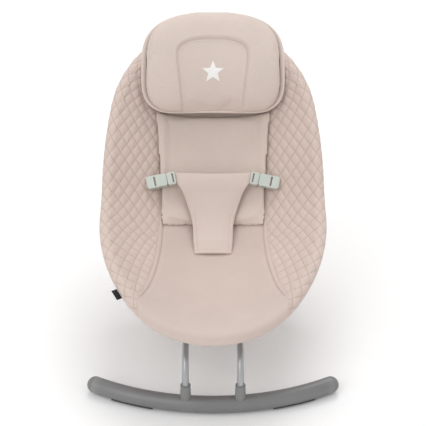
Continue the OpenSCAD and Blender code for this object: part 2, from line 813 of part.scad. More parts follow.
// the pillow: a crowned form on a rounded outline; its underside sinks a little into the seat
pillow_n = 16;
pillow_m = 16;
function pillow_u(k, n) = -cos(180 * k / n);
function pillow_y(i) = pillow_u(i, pillow_n) * pillow_l / 2;
function pillow_x(i, j) =
  let (u = pillow_u(i, pillow_n))
  pillow_u(j, pillow_m) * pillow_w / 2 * pow(max(0.02, 1 - pow(abs(u), 3.2)), 1 / 3.2)
  * (u < 0 ? 1 : 1 - 0.06 * u);
function pillow_crown(i, j) =
  pow(max(0, 1 - pow(pillow_u(i, pillow_n), 6)) * max(0, 1 - pow(pillow_u(j, pillow_m), 6)), 0.5);
function pillow_sink(i) = 12 * (1 - pillow_u(i, pillow_n)) / 2;

module head_pillow() {
  rim = 6;
  color(sand)
    sheet(pillow_n, pillow_m,
          function (i, j) under(pillow_s + pillow_y(i), pillow_x(i, j),
            -pillow_lift + pillow_sink(i) * (1 - pow(pillow_u(j, pillow_m), 2))
            - rim - (pillow_t - rim) * pillow_crown(i, j)),
          function (i, j) under(pillow_s + pillow_y(i), pillow_x(i, j),
            -pillow_lift + pillow_sink(i) * (1 - pow(pillow_u(j, pillow_m), 2))));
}

flap_n = 12;
flap_m = 6;
function flap_s(i) = flap_front_s + (flap_back_s - flap_front_s) * i / flap_n;
function flap_half_w(i) = flap_front_half_w + flap_flare * min(1, 1.7 * i / flap_n);
function flap_depth(i) =
  let (a = depth(flap_front_s, 0) - layer_gap - flap_t, b = buckle_depth - 1)
  a + (b - a) * i / flap_n;

module crotch_flap() {
  color(sand)
    sheet(flap_n, flap_m,
          function (i, j) under(flap_s(i), flap_half_w(i) * (2 * j / flap_m - 1), flap_depth(i)),
          function (i, j) under(flap_s(i), flap_half_w(i) * (2 * j / flap_m - 1), flap_depth(i) + flap_t));
}

// ---- harness
slot_x = 13;
slot_l = 3.4;
base_slot_x = -25;
window_from = -4;
window_to = 7;
socket_end = 9.6;

// comes up through the slot, back under the outer block, and down to the side panel
module side_strap() {
  bar_x = slot_x - slot_l / 2 + 0.6;
  end_x = buckle_half_l + 2.5;
  low_z = -buckle_t / 2 + 2;
  color(sand)
    at_buckle(1) {
      block([bar_x, -belt_w / 2, low_z], [bar_x + belt_t, belt_w / 2, buckle_t / 2 - 1]);
      block([bar_x, -belt_w / 2, low_z], [end_x, belt_w / 2, low_z + belt_t]);
      block([end_x - belt_t, -belt_w / 2, low_z - 2], [end_x, belt_w / 2, low_z + belt_t]);
    }
}

module buckle_housing() {
  color(buckle_grey)
    at_buckle(1)
      difference() {
        translate([(mouth_x + buckle_half_l) / 2, 0, -buckle_t / 2])
          linear_extrude(buckle_t) rounded2d(buckle_half_l - mouth_x, buckle_w, 5);
        block([mouth_x - 1, -buckle_w / 2 + 2, -buckle_t / 2 + 2], [socket_end, buckle_w / 2 - 2, buckle_t / 2 - 2]);
        block([window_from, -buckle_w, -buckle_t / 2 + 2], [window_to, buckle_w, buckle_t / 2 - 2]);
        block([slot_x - slot_l / 2, -belt_w / 2 - gap, -buckle_t], [slot_x + slot_l / 2, belt_w / 2 + gap, buckle_t]);
        block([slot_x + slot_l / 2 - 1, -belt_w / 2 - gap, -buckle_t],
              [buckle_half_l + 1, belt_w / 2 + gap, -buckle_t / 2 + 2 + belt_t + gap]);
      }
}

module buckle_plug() {
  color(buckle_grey)
    at_buckle(1)
      difference() {
        union() {
          translate([(-buckle_half_l + plug_face) / 2, 0, -buckle_t / 2])
            linear_extrude(buckle_t) rounded2d(buckle_half_l + plug_face, buckle_w, 4);
          block([plug_face - 5, -1.6, -2.5], [6, 1.6, 2.5]);
        }
        block([base_slot_x - slot_l / 2, -belt_w / 2 - gap, -buckle_t],
              [base_slot_x + slot_l / 2, belt_w / 2 + gap, buckle_t]);
      }
}

// the arm's round root sits just off the plug's face
module latch_arm(upper) {
  arm_y = 8.6;
  color(buckle_grey)
    at_buckle(1)
      mirror([0, upper ? 0 : 1, 0])
        translate([0, 0, -2.6])
          linear_extrude(5.2) {
            translate([plug_face + gap + 1.6, arm_y]) circle(r = 1.6);
            translate([plug_face + gap + 1.6, arm_y - 1.6]) square([window_to - plug_face - 2.4, 2.4]);
            polygon([[window_from + 1.5, arm_y - 1.6], [window_to - 0.5, arm_y - 1.6],
                     [window_to - 0.5, arm_y + 0.6], [window_from + 2.5, arm_y + 2.4]]);
          }
}

// goes from the flap under the plug's end bar and up into its slot
module belt_end() {
  bar_x = base_slot_x - slot_l / 2 + 0.6;
  low_z = -buckle_t / 2 - 0.1 - belt_t;
  color(sand)
    at_buckle(1) {
      block([bar_x, -belt_w / 2, low_z], [bar_x + belt_t, belt_w / 2, buckle_t / 2 - 1]);
      block([-buckle_half_l - 3, -belt_w / 2, low_z], [bar_x + belt_t, belt_w / 2, low_z + belt_t]);
    }
}

module side_tag() {
  tag_s = -249;
  tag_l = 26;
  tag_out = 10.5;
  tag_gap = 0.6;
  turn = atan((ring_w(tag_s + 1, 0) - ring_w(tag_s - 1, 0)) / 2);
  color(rubber)
    translate(under(tag_s, 0, 0))
      rotate([tilt_at(tag_s), 0, 0])
        translate([-ring_w(tag_s, 0), 0, 0])
          rotate([0, 0, turn])
            translate([-sleeve_d / 2 - tag_gap - tag_out, -tag_l / 2, -1])
              cube([tag_out, tag_l, 1.2]);
}

floor_bar();  // front_bar
end_caps();  // front_end_caps
grip_pads();  // front_grip_pads
side_of(-1) socket();  // front_socket_left
socket();  // front_socket_right
side_of(-1) front_tube();  // front_tube_left
front_tube();  // front_tube_right
hub_lower();
hub_upper();
hub_screws();
headed_pin(leg_pin_d / 2, hub_half_w, leg_pin_y, leg_pin_z);  // leg_pin
headed_pin(rock_pin_d / 2, rock_ear_x + rock_ear_t, rock_y, rock_z);  // rock_pin
stop_buffers();
end_of(true) floor_bar();  // rear_bar
end_of(true) end_caps();  // rear_end_caps
end_of(true) grip_pads();  // rear_grip_pads
end_of(true) side_of(-1) socket();  // rear_socket_left
end_of(true) socket();  // rear_socket_right
side_of(-1) rear_tube();  // rear_tube_left
rear_tube();  // rear_tube_right
leg_knuckle();
side_of(-1) fold_button();  // fold_button_left
fold_button();  // fold_button_right
button_spring();
carrier_base();
carrier_caps();
cap_screws();
rock_bushes();
headed_pin(lever_pin_d / 2, bearing_x, lever_y, lever_z);  // lever_pin
recline_lever();
cross_tube();
recline_sector();
side_of(-1) hip_joint();  // hip_joint_left
hip_joint();  // hip_joint_right
ring_tube_back();
ring_tube_leg();
sleeve_back();
sleeve_leg();
side_of(-1) side_panel();  // side_panel_left
side_panel();  // side_panel_right
middle_panel();
newborn_insert();
head_pillow();
crotch_flap();
side_of(-1) side_strap();  // side_strap_left
side_strap();  // side_strap_right
side_of(-1) buckle_housing();  // buckle_housing_left
buckle_housing();  // buckle_housing_right
side_of(-1) buckle_plug();  // buckle_plug_left
buckle_plug();  // buckle_plug_right
side_of(-1) belt_end();  // belt_end_left
belt_end();  // belt_end_right
side_of(-1) latch_arm(true);  // latch_arm_upper_left
side_of(-1) latch_arm(false);  // latch_arm_lower_left
latch_arm(true);  // latch_arm_upper_right
latch_arm(false);  // latch_arm_lower_right
side_tag();
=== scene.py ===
import math

import bpy
import numpy as np
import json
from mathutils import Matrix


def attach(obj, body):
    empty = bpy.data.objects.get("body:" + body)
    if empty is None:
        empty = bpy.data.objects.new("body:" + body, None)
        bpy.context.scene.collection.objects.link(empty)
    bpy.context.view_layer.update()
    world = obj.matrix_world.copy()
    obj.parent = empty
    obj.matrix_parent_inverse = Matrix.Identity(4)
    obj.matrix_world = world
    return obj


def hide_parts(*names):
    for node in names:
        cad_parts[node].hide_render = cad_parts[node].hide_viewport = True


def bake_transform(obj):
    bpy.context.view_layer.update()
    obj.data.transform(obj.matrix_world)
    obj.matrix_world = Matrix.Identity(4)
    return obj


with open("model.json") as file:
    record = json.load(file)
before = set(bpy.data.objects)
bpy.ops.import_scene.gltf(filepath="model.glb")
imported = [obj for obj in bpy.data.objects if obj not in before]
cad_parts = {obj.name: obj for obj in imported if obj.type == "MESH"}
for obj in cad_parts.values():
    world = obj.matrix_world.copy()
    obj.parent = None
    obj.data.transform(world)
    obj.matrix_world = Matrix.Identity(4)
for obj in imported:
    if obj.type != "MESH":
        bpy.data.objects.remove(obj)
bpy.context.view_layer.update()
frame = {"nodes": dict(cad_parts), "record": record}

# ---- Camera, floor and light
# The camera looks down on the seat from the front. The floor is a plain pale sheet, lit by a wide
# soft lamp over the back and a fill from the front.
bpy.ops.object.camera_add(location=(0, -1.99206, 1.37733), rotation=(math.radians(60), 0, 0))
camera = bpy.context.object
camera.data.lens = 95.28
camera.data.sensor_width = 36
bpy.context.scene.camera = camera


def tint(red, green, blue):
    """A colour given as screen values from 0 to 255, as the shader's linear values."""
    share = [c / 255 for c in (red, green, blue)]
    return tuple(c / 12.92 if c < 0.04 else ((c + 0.055) / 1.055) ** 2.4 for c in share) + (1.0,)


def plain_finish(name, color, roughness, **sockets):
    """A new material: its tree and its Principled shader, with the plain values set."""
    material = bpy.data.materials.new(name)
    material.use_nodes = True
    shader = material.node_tree.nodes["Principled BSDF"]
    shader.inputs["Base Color"].default_value = color
    shader.inputs["Roughness"].default_value = roughness
    for label, value in sockets.items():
        shader.inputs[label.replace("_", " ")].default_value = value
    return material, material.node_tree, shader


def area_lamp(name, place, turn, size, power):
    bpy.ops.object.light_add(type="AREA", location=place, rotation=[math.radians(a) for a in turn])
    lamp = bpy.context.object
    lamp.name = name
    lamp.data.size = size
    lamp.data.energy = power


bpy.ops.object.select_all(action="DESELECT")
bpy.ops.mesh.primitive_plane_add(size=12)
floor = bpy.context.object
floor.name = "studio_floor"
floor.data.materials.append(plain_finish("floor_paper", tint(253, 253, 253), 0.9)[0])
area_lamp("lamp_over_back", (0.3, 1.3, 2.6), (-27, 6, 0), 1.6, 26)
area_lamp("lamp_front", (-1.6, -2.2, 2.0), (52, 0, -36), 2.0, 20)
world = bpy.data.worlds.new("studio")
world.use_nodes = True
world.node_tree.nodes["Background"].inputs["Color"].default_value = (1, 1, 1, 1)
world.node_tree.nodes["Background"].inputs["Strength"].default_value = 0.78
bpy.context.scene.world = world
bpy.context.scene.view_settings.view_transform = "Standard"

# ---- Floor bars, their end caps, rubber pads and leg sockets
# Two bowed steel tubes, powder coated in grey, with moulded caps pressed into their ends, rubber
# pads moulded under them, and tapered plastic sockets that hold the leg tubes.
bodies_of = {n: b for b, nodes in frame["record"]["behaviour"]["bodies"].items() for n in nodes}


def node(tree, kind, inputs=None, **settings):
    """A shader node with its settings, its numbers and its links in one call."""
    made = tree.nodes.new(kind)
    for key, value in settings.items():
        setattr(made, key, value)
    for key, value in (inputs or {}).items():
        if isinstance(value, bpy.types.NodeSocket):
            tree.links.new(value, made.inputs[key])
        else:
            made.inputs[key].default_value = value
    return made


def group(name, inputs, outputs):
    """An empty shader node group with its sockets: the tree, and its input and output nodes."""
    tree = bpy.data.node_groups.new(name, "ShaderNodeTree")
    for label, kind, value in inputs:
        socket = tree.interface.new_socket(name=label, in_out="INPUT", socket_type="NodeSocket" + kind)
        if value is not None:
            socket.default_value = value
    for label, kind in outputs:
        tree.interface.new_socket(name=label, in_out="OUTPUT", socket_type="NodeSocket" + kind)
    return tree, node(tree, "NodeGroupInput"), node(tree, "NodeGroupOutput")


def math_node(tree, operation, *values):
    return node(tree, "ShaderNodeMath", dict(enumerate(values)), operation=operation).outputs[0]


def times(tree, first, second):
    return math_node(tree, "MULTIPLY", first, second)


def remap(tree, value, low, high, to_low, to_high):
    """value from the range low..high to to_low..to_high, held at both ends."""
    limits = {"Value": value, "From Min": low, "From Max": high, "To Min": to_low, "To Max": to_high}
    return node(tree, "ShaderNodeMapRange", limits).outputs[0]


def mixed(tree, kind, factor, first, second):
    made = node(tree, "ShaderNodeMix", {0: factor, 6: first, 7: second}, data_type="RGBA", blend_type=kind)
    return made.outputs[2]


def noise(tree, vector, scale, detail=3.0):
    """The value of a noise texture."""
    return node(tree, "ShaderNodeTexNoise", {"Vector": vector, "Scale": scale, "Detail": detail}).outputs[0]


# fine grain in the surface, a slow change of tone, and edges rubbed lighter
grain, g_in, g_out = group(
    "surface_grain",
    [
        ("Color", "Color", None),
        ("Edge", "Color", None),
        ("Roughness", "Float", 0.5),
        ("Size", "Float", 900.0),
    ],
    [("Color", "Color"), ("Roughness", "Float"), ("Height", "Float")],
)
at = node(grain, "ShaderNodeTexCoord").outputs["Object"]
fine = noise(grain, at, g_in.outputs["Size"])
broad = noise(grain, at, 16.0, 2.0)
tone = remap(grain, broad, 0.3, 0.7, 0.94, 1.04)
toned = mixed(grain, "MULTIPLY", 1.0, g_in.outputs["Color"], tone)
sharp = node(grain, "ShaderNodeNewGeometry").outputs["Pointiness"]
on_edge = remap(grain, sharp, 0.53, 0.62, 0.0, 0.7)
worn = times(grain, on_edge, remap(grain, broad, 0.4, 0.6, 0.3, 1.0))
grain.links.new(mixed(grain, "MIX", worn, toned, g_in.outputs["Edge"]), g_out.inputs["Color"])
rough = math_node(grain, "ADD", g_in.outputs["Roughness"], remap(grain, fine, 0.3, 0.7, -0.06, 0.06))
grain.links.new(rough, g_out.inputs["Roughness"])
grain.links.new(fine, g_out.inputs["Height"])


def grained(name, color, edge, roughness, size, depth, **sockets):
    """A material with the surface grain: size in grains per metre, depth of the grain in metres."""
    material, tree, shader = plain_finish(name, color, roughness, **sockets)
    values = {"Color": color, "Edge": edge, "Roughness": roughness, "Size": size}
    skin = node(tree, "ShaderNodeGroup", node_tree=grain)
    for label, value in values.items():
        skin.inputs[label].default_value = value
    relief = {"Height": skin.outputs["Height"], "Distance": depth, "Strength": 0.6}
    bump = node(tree, "ShaderNodeBump", relief)
    tree.links.new(skin.outputs["Color"], shader.inputs["Base Color"])
    tree.links.new(skin.outputs["Roughness"], shader.inputs["Roughness"])
    tree.links.new(bump.outputs["Normal"], shader.inputs["Normal"])
    return material


def only(piece):
    """Makes piece the one selected and active object."""
    bpy.ops.object.select_all(action="DESELECT")
    piece.select_set(True)
    bpy.context.view_layer.objects.active = piece


def apply_all(piece):
    """Applies the piece's modifiers in order."""
    only(piece)
    for modifier in list(piece.modifiers):
        bpy.ops.object.modifier_apply(modifier=modifier.name)


def dressed(name, cad_node, material, edge=0.0, angle=35):
    """A merged copy of a CAD node with rounded edges and its finish, standing in for that node."""
    piece = bpy.data.objects.new(name, frame["nodes"][cad_node].data.copy())
    bpy.context.scene.collection.objects.link(piece)
    only(piece)
    bpy.ops.object.mode_set(mode="EDIT")
    bpy.ops.mesh.select_all(action="SELECT")
    bpy.ops.mesh.remove_doubles(threshold=0.00001)
    if edge > 0:
        bpy.ops.mesh.dissolve_limited(angle_limit=math.radians(0.6))
    bpy.ops.object.mode_set(mode="OBJECT")
    if piece.data.has_custom_normals:
        bpy.ops.mesh.customdata_custom_splitnormals_clear()
    if edge > 0:
        bevel = piece.modifiers.new("rounded", "BEVEL")
        bevel.width = edge
        bevel.segments = 2
        bevel.limit_method = "ANGLE"
        bevel.angle_limit = math.radians(angle)
        bevel.use_clamp_overlap = True
        apply_all(piece)
    bpy.ops.object.shade_smooth_by_angle(angle=math.radians(angle))
    piece.data.materials.clear()
    piece.data.materials.append(material)
    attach(piece, bodies_of[cad_node])
    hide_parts(cad_node)
    return piece


bar_grey, bar_worn = tint(126, 126, 126), tint(160, 160, 160)
bar_coat = grained("bar_powder_coat", bar_grey, bar_worn, 0.42, 1400, 0.00008, Metallic=0.25)
cap_shell = grained("cap_moulding", tint(124, 124, 124), tint(156, 156, 156), 0.5, 1100, 0.00006)
socket_shell = grained("socket_moulding", tint(128, 128, 128), tint(160, 160, 160), 0.46, 1100, 0.00006)
soft_rubber = grained("pad_rubber", tint(104, 104, 104), tint(120, 120, 120), 0.75, 700, 0.00012)
for end in ("front", "rear"):
    dressed(end + "_bar_tube", end + "_bar", bar_coat)
    dressed(end + "_bar_caps", end + "_end_caps", cap_shell, 0.0006)
    dressed(end + "_bar_pads", end + "_grip_pads", soft_rubber, 0.0006)
    for side in ("left", "right"):
        name = end + "_socket_" + side
        dressed(name + "_shell", name, socket_shell, 0.0009)

# ---- Leg tubes and cross tube
# Bent round steel tubes with a satin silver coat, pushed into the sockets and the hub. The bent
# cross tube carries the seat ring.
silver, silver_worn = tint(172, 173, 174), tint(205, 206, 207)
tube_coat = grained("tube_satin_coat", silver, silver_worn, 0.36, 1800, 0.00003, Metallic=0.6)
for end in ("front", "rear"):
    for side in ("left", "right"):
        name = end + "_tube_" + side
        dressed(name + "_coated", name, tube_coat)
dressed("cross_tube_coated", "cross_tube", tube_coat)
dressed("sector_coated", "recline_sector", tube_coat, 0.0004)
for name in ("ring_tube_back", "ring_tube_leg"):
    dressed(name + "_coated", name, tube_coat)

# ---- Folding hub and rocking carrier
# Textured grey nylon mouldings: two hub halves screwed together, the knuckle that the rear legs
# fold on, and the carrier with its bearing caps.
hub_shell = grained("hub_moulding", tint(112, 114, 116), tint(142, 144, 146), 0.55, 800, 0.0001)
for name in ("hub_lower", "hub_upper", "leg_knuckle", "carrier_base", "carrier_caps"):
    dressed(name + "_moulding", name, hub_shell, 0.0008)
for side in ("left", "right"):
    dressed("hip_joint_%s_moulding" % side, "hip_joint_" + side, hub_shell, 0.0008)
dressed("stop_buffer_rubber", "stop_buffers", soft_rubber, 0.0006)
dressed("rock_bush_rubber", "rock_bushes", soft_rubber, 0.0004)

# ---- Levers and buttons
# Light grey mouldings that hands touch: the recline lever under the seat's back edge and the two
# round buttons that free the folding legs.
lever_shell = grained("lever_moulding", tint(196, 202, 198), tint(220, 224, 221), 0.42, 1000, 0.00005)
dressed("recline_lever_moulding", "recline_lever", lever_shell, 0.0012)
for side in ("left", "right"):
    dressed("fold_button_%s_cap" % side, "fold_button_" + side, lever_shell, 0.0009)

# ---- Pins, screws and the button spring
# Zinc-plated steel: turned pins with flat heads, cross-head screws and a wound coil spring.
zinc = grained("zinc_plate", tint(176, 178, 180), tint(205, 206, 207), 0.3, 2500, 0.00002, Metallic=1.0)
for name in ("leg_pin", "rock_pin", "lever_pin"):
    dressed(name + "_turned", name, zinc, 0.0004)
for name in ("hub_screws", "cap_screws"):
    dressed(name + "_plated", name, zinc, 0.0003)
dressed("button_spring_wire", "button_spring", zinc, 0, 60)

# ---- Quilted side covers
# Microfibre quilted over thin wadding in a diamond pattern. Each cover is sewn to the middle cover
# and wraps round the ring tube to a hem under it, with a notch for the hip joint.

# the ring's line is two slopes joined by a bend at the hip: s runs along it from the hip, up the
# back and down to the front, x goes to the side, and d is the depth below the ring's plane
back_tilt = math.radians(42)
leg_tilt = math.radians(12)
hip_bend_r = 0.150
hip_half_a = (back_tilt - leg_tilt) / 2
hip_mid_a = (back_tilt + leg_tilt) / 2
hip_half_s = hip_bend_r * hip_half_a
bend_y = 0.010 - math.sin(hip_mid_a) * hip_bend_r / math.cos(hip_half_a)
bend_z = 0.245 + math.cos(hip_mid_a) * hip_bend_r / math.cos(hip_half_a)
ring_half_w = 0.215
seat_sag, top_sag, front_sag = 0.085, 0.005, 0.010
wrap_r = 0.0122
bowl = 2.2

# the ring's outline as arcs of radius and angle, from the front middle to the back middle
back_side, shoulder = (1.050, math.radians(9.5)), (0.224, math.radians(42.4))
leg_side, leg_corner = (0.458, math.radians(30.7)), (0.289, math.radians(9))


def last_arc(side, corner):
    """Radius, angle and far place of the arc that closes an outline on the middle plane."""
    turned = side[1] + corner[1]
    drop = side[0] * (1 - math.cos(side[1])) + corner[0] * (math.cos(side[1]) - math.cos(turned))
    radius = (ring_half_w - drop) / math.cos(turned)
    far = hip_half_s + side[0] * math.sin(side[1])
    far += corner[0] * (math.sin(turned) - math.sin(side[1])) + radius * (1 - math.sin(turned))
    return radius, math.pi / 2 - turned, far


crown_r, crown_a, crown_s = last_arc(back_side, shoulder)
toe_r, toe_a, toe_s = last_arc(leg_side, leg_corner)
straight_r = 1e6
straight = (straight_r, 2 * hip_half_s / straight_r)
ring_arcs = [(toe_r, toe_a), leg_corner, leg_side, straight, back_side, shoulder, (crown_r, crown_a)]
ring_length = sum(r * a for r, a in ring_arcs)


def outline(v):
    """The ring's line at length v from the front middle, on the right: x, s and heading."""
    x, s, heading = np.zeros_like(v), np.full_like(v, -toe_s), np.full_like(v, math.pi / 2)
    start = 0.0
    for radius, angle in ring_arcs:
        turn = np.clip(v - start, 0, radius * angle) / radius
        x = x + radius * (np.cos(heading - turn) - np.cos(heading))
        s = s + radius * (np.sin(heading) - np.sin(heading - turn))
        heading = heading - turn
        start += radius * angle
    return x, s, heading


def stacked(*parts):
    return np.stack(np.broadcast_arrays(*parts), axis=-1)


def under(s, x, d):
    """The point at length s, x to the side and d below the ring."""
    kept = np.clip(s, -hip_half_s, hip_half_s)
    tilt = hip_mid_a + kept / hip_bend_r
    y = bend_y + hip_bend_r * np.sin(tilt) + (s - kept) * np.cos(tilt) + d * np.sin(tilt)
    z = bend_z - hip_bend_r * np.cos(tilt) + (s - kept) * np.sin(tilt) - d * np.cos(tilt)
    return stacked(x, y, z)


def sag_at(s):
    back = top_sag + (seat_sag - top_sag) * (1 - np.clip(s / crown_s, 0, 1) ** 2.5)
    front = front_sag + (seat_sag - front_sag) * (1 - np.clip(-s / toe_s, 0, 1) ** 2)
    return np.where(s > 0, back, front)


def row_middle(s):
    """Where the row through s meets the middle plane: the end rows fan out from one point."""
    return np.clip(s, toe_r - toe_s, crown_s - crown_r)


def row_key(s, x):
    """A number that grows along the ring from row to row, the same all along a row."""
    middle = row_middle(s)
    return middle + 0.1 * np.arctan2(s - middle, np.abs(x))


# the cloth leaves the tube where its slope is the tube's: found by going round a few times
ring_v = np.linspace(0, ring_length, 900)
ring_x, ring_s, ring_turn = outline(ring_v)
lean = np.full_like(ring_v, 0.5)
for _ in range(16):
    edge_x = ring_x - wrap_r * np.sin(lean) * np.cos(ring_turn)
    edge_s = ring_s + wrap_r * np.sin(lean) * np.sin(ring_turn)
    edge_rise = wrap_r * np.cos(lean)
    edge_reach = np.hypot(edge_x, edge_s - row_middle(edge_s))
    facing = edge_x * np.cos(ring_turn) - (edge_s - row_middle(edge_s)) * np.sin(ring_turn)
    slope = bowl * (sag_at(edge_s) + edge_rise) / edge_reach * facing / edge_reach
    lean = (lean + np.arctan(slope)) / 2
edge_key = row_key(edge_s, edge_x)


def seat_depth(s, x):
    """Depth of the hung seat's face."""
    key = row_key(s, x)
    reach = np.hypot(x, s - row_middle(s)) / np.interp(key, edge_key, edge_reach)
    share = np.clip(reach, 0, 1) ** bowl
    return sag_at(s) * (1 - share) - np.interp(key, edge_key, edge_rise) * share


def seam_half_w(s):
    """Half width of the middle cover, where the quilted sides are sewn to it."""
    return 0.104 + np.where(s < 0, 0.46 * s * s, 0)


def step_up(value, low, high):
    """0 below low, 1 above high, and smooth between."""
    share = np.clip((value - low) / (high - low), 0, 1)
    return share * share * (3 - 2 * share)


def points_of(piece):
    found = np.zeros(len(piece.data.vertices) * 3)
    piece.data.vertices.foreach_get("co", found)
    return found.reshape(-1, 3)


def cloth_grid(name, points, cloth=None, marks=None):
    """A grid primitive with its points moved to points[row, column]; cloth is its UV in metres."""
    rows, columns = points.shape[0] - 1, points.shape[1] - 1
    bpy.ops.object.select_all(action="DESELECT")
    bpy.ops.mesh.primitive_grid_add(x_subdivisions=columns, y_subdivisions=rows, size=1)
    piece = bpy.context.object
    piece.name = name
    piece.data.name = name
    start = np.round(points_of(piece), 6)
    column = np.unique(start[:, 0], return_inverse=True)[1]
    row = np.unique(start[:, 1], return_inverse=True)[1]
    piece.data.vertices.foreach_set("co", points[row, column].ravel())
    if cloth is not None:
        corner = np.zeros(len(piece.data.loops), int)
        piece.data.loops.foreach_get("vertex_index", corner)
        flat = cloth[row, column][corner]
        piece.data.uv_layers[0].data.foreach_set("uv", flat.ravel())
    if marks is not None:
        layer = piece.data.attributes.new("marks", "FLOAT_VECTOR", "POINT")
        layer.data.foreach_set("vector", marks[row, column].ravel())
    piece.data.update()
    return piece


def sewn(piece, thickness, up=None, weld=0.00004):
    """Merges a sheet's doubles, turns its face to up (or outwards), and gives it thickness."""
    only(piece)
    bpy.ops.object.mode_set(mode="EDIT")
    bpy.ops.mesh.select_all(action="SELECT")
    bpy.ops.mesh.remove_doubles(threshold=weld)
    bpy.ops.mesh.dissolve_degenerate(threshold=weld)
    bpy.ops.mesh.normals_make_consistent(inside=False)
    bpy.ops.object.mode_set(mode="OBJECT")
    if up is not None:
        faces = piece.data.polygons
        if sum(face.area * float(np.dot(face.normal, up)) for face in faces) < 0:
            bpy.ops.object.mode_set(mode="EDIT")
            bpy.ops.mesh.flip_normals()
            bpy.ops.object.mode_set(mode="OBJECT")
    if thickness:
        wall = piece.modifiers.new("thickness", "SOLIDIFY")
        wall.thickness = thickness
        wall.offset = -1
        apply_all(piece)
    bpy.ops.object.shade_smooth_by_angle(angle=math.radians(50))
    return piece


def surface_normals(points):
    """Unit normals of a grid of points, on the side that faces up and out of the seat."""
    along, across = np.gradient(points, axis=0), np.gradient(points, axis=1)
    normal = np.cross(along, across)
    size = np.maximum(np.linalg.norm(normal, axis=-1, keepdims=True), 1e-12)
    return normal / size


# plain weave: threads crossing over and under, with thicker threads here and there; the lower threads get
# painted shade and the tone varies at random
weave, w_in, w_out = group(
    "plain_weave",
    [("Vector", "Vector", None), ("Threads", "Float", 1500.0), ("Color", "Color", None)],
    [("Color", "Color"), ("Height", "Float")],
)
split = node(weave, "ShaderNodeSeparateXYZ", {0: w_in.outputs["Vector"]})
pitch = times(weave, w_in.outputs["Threads"], math.pi)
ridges = []
for axis in (0, 1):
    wave = math_node(weave, "SINE", times(weave, split.outputs[axis], pitch))
    ridges.append(math_node(weave, "ABSOLUTE", wave))
squares = {"Vector": w_in.outputs["Vector"], "Scale": w_in.outputs["Threads"]}
over = node(weave, "ShaderNodeTexChecker", squares).outputs[1]
warp = times(weave, over, ridges[0])
weft = times(weave, math_node(weave, "SUBTRACT", 1.0, over), ridges[1])
height = math_node(weave, "ADD", warp, weft)
stretched = node(weave, "ShaderNodeMapping", {"Vector": w_in.outputs["Vector"], "Scale": (60, 900, 300)})
slub = noise(weave, stretched.outputs[0], 1.0)
cloudy = noise(weave, w_in.outputs["Vector"], 9.0, 4.0)
# painted shade: the colour is darker where the weave is low, between the raised threads; slubs and clouds
# vary the tone
thread_shade_and_tone = remap(weave, height, 0, 1, 0.93, 1.02)
thread_shade_and_tone = times(weave, thread_shade_and_tone, remap(weave, slub, 0.3, 0.7, 0.975, 1.02))
thread_shade_and_tone = times(weave, thread_shade_and_tone, remap(weave, cloudy, 0.3, 0.7, 0.965, 1.02))
weave.links.new(mixed(weave, "MULTIPLY", 1.0, w_in.outputs["Color"], thread_shade_and_tone), w_out.inputs["Color"])
relief = math_node(weave, "ADD", height, times(weave, slub, 0.6))
weave.links.new(relief, w_out.inputs["Height"])

# a row of lockstitches: Across is the distance from the line and Along the place on it, in metres
stitch, s_in, s_out = group(
    "lockstitch", [("Across", "Float", 0.0), ("Along", "Float", 0.0)], [("Thread", "Float")]
)
stitch_l = 0.0032
thread_half = 0.00045
beat = math_node(stitch, "FRACT", math_node(stitch, "DIVIDE", s_in.outputs["Along"], stitch_l))
dash = math_node(stitch, "ABSOLUTE", math_node(stitch, "SUBTRACT", beat, 0.5))
dash = remap(stitch, dash, 0.28, 0.36, 1, 0)
near = math_node(stitch, "ABSOLUTE", s_in.outputs["Across"])
near = remap(stitch, near, thread_half * 0.6, thread_half, 1, 0)
stitch.links.new(times(stitch, dash, near), s_out.inputs["Thread"])

thread_tint = tint(196, 177, 166)
# how dark the painted shade in the quilting valleys and seams makes the cloth
crease_shade = 0.80


def stitched(tree, across, along):
    """The thread mask of one row of stitches."""
    made = node(tree, "ShaderNodeGroup", node_tree=stitch)
    tree.links.new(across, made.inputs["Across"])
    tree.links.new(along, made.inputs["Along"])
    return made.outputs["Thread"]


def fabric(name, color, threads, vector_of, thread_of=None, painted_shade_of=None, relief=0.00022):
    """A woven material. vector_of gives its cloth coordinates, thread_of its stitch mask and
    painted_shade_of its mask of painted shade.
    """
    material, tree, shader = plain_finish(name, color, 0.86)
    shader.inputs["Specular IOR Level"].default_value = 0.25
    shader.inputs["Sheen Weight"].default_value = 0.22
    shader.inputs["Sheen Roughness"].default_value = 0.45
    cloth = node(tree, "ShaderNodeGroup", node_tree=weave)
    tree.links.new(vector_of(tree), cloth.inputs["Vector"])
    cloth.inputs["Threads"].default_value = threads
    cloth.inputs["Color"].default_value = color
    face, height = cloth.outputs["Color"], cloth.outputs["Height"]
    if painted_shade_of:
        # painted shade: the colour is darkened towards crease_shade where the mask is 1
        crease = remap(tree, painted_shade_of(tree), 0, 1, 1.0, crease_shade)
        face = mixed(tree, "MULTIPLY", 1.0, face, crease)
    if thread_of:
        mask = thread_of(tree)
        face = mixed(tree, "MIX", mask, face, thread_tint)
        height = math_node(tree, "ADD", height, times(tree, mask, 1.6))
    bump = node(tree, "ShaderNodeBump", {"Height": height, "Distance": relief, "Strength": 0.5})
    tree.links.new(face, shader.inputs["Base Color"])
    tree.links.new(bump.outputs["Normal"], shader.inputs["Normal"])
    return material


def own_uv(tree):
    return node(tree, "ShaderNodeUVMap", uv_map="UVMap").outputs[0]


def slope_coordinates(tree):
    """Object coordinates turned so that X and Y lie in the plane of the seat's back."""
    at = node(tree, "ShaderNodeTexCoord").outputs["Object"]
    return node(tree, "ShaderNodeMapping", {"Vector": at, "Rotation": (-back_tilt, 0, 0)}).outputs[0]


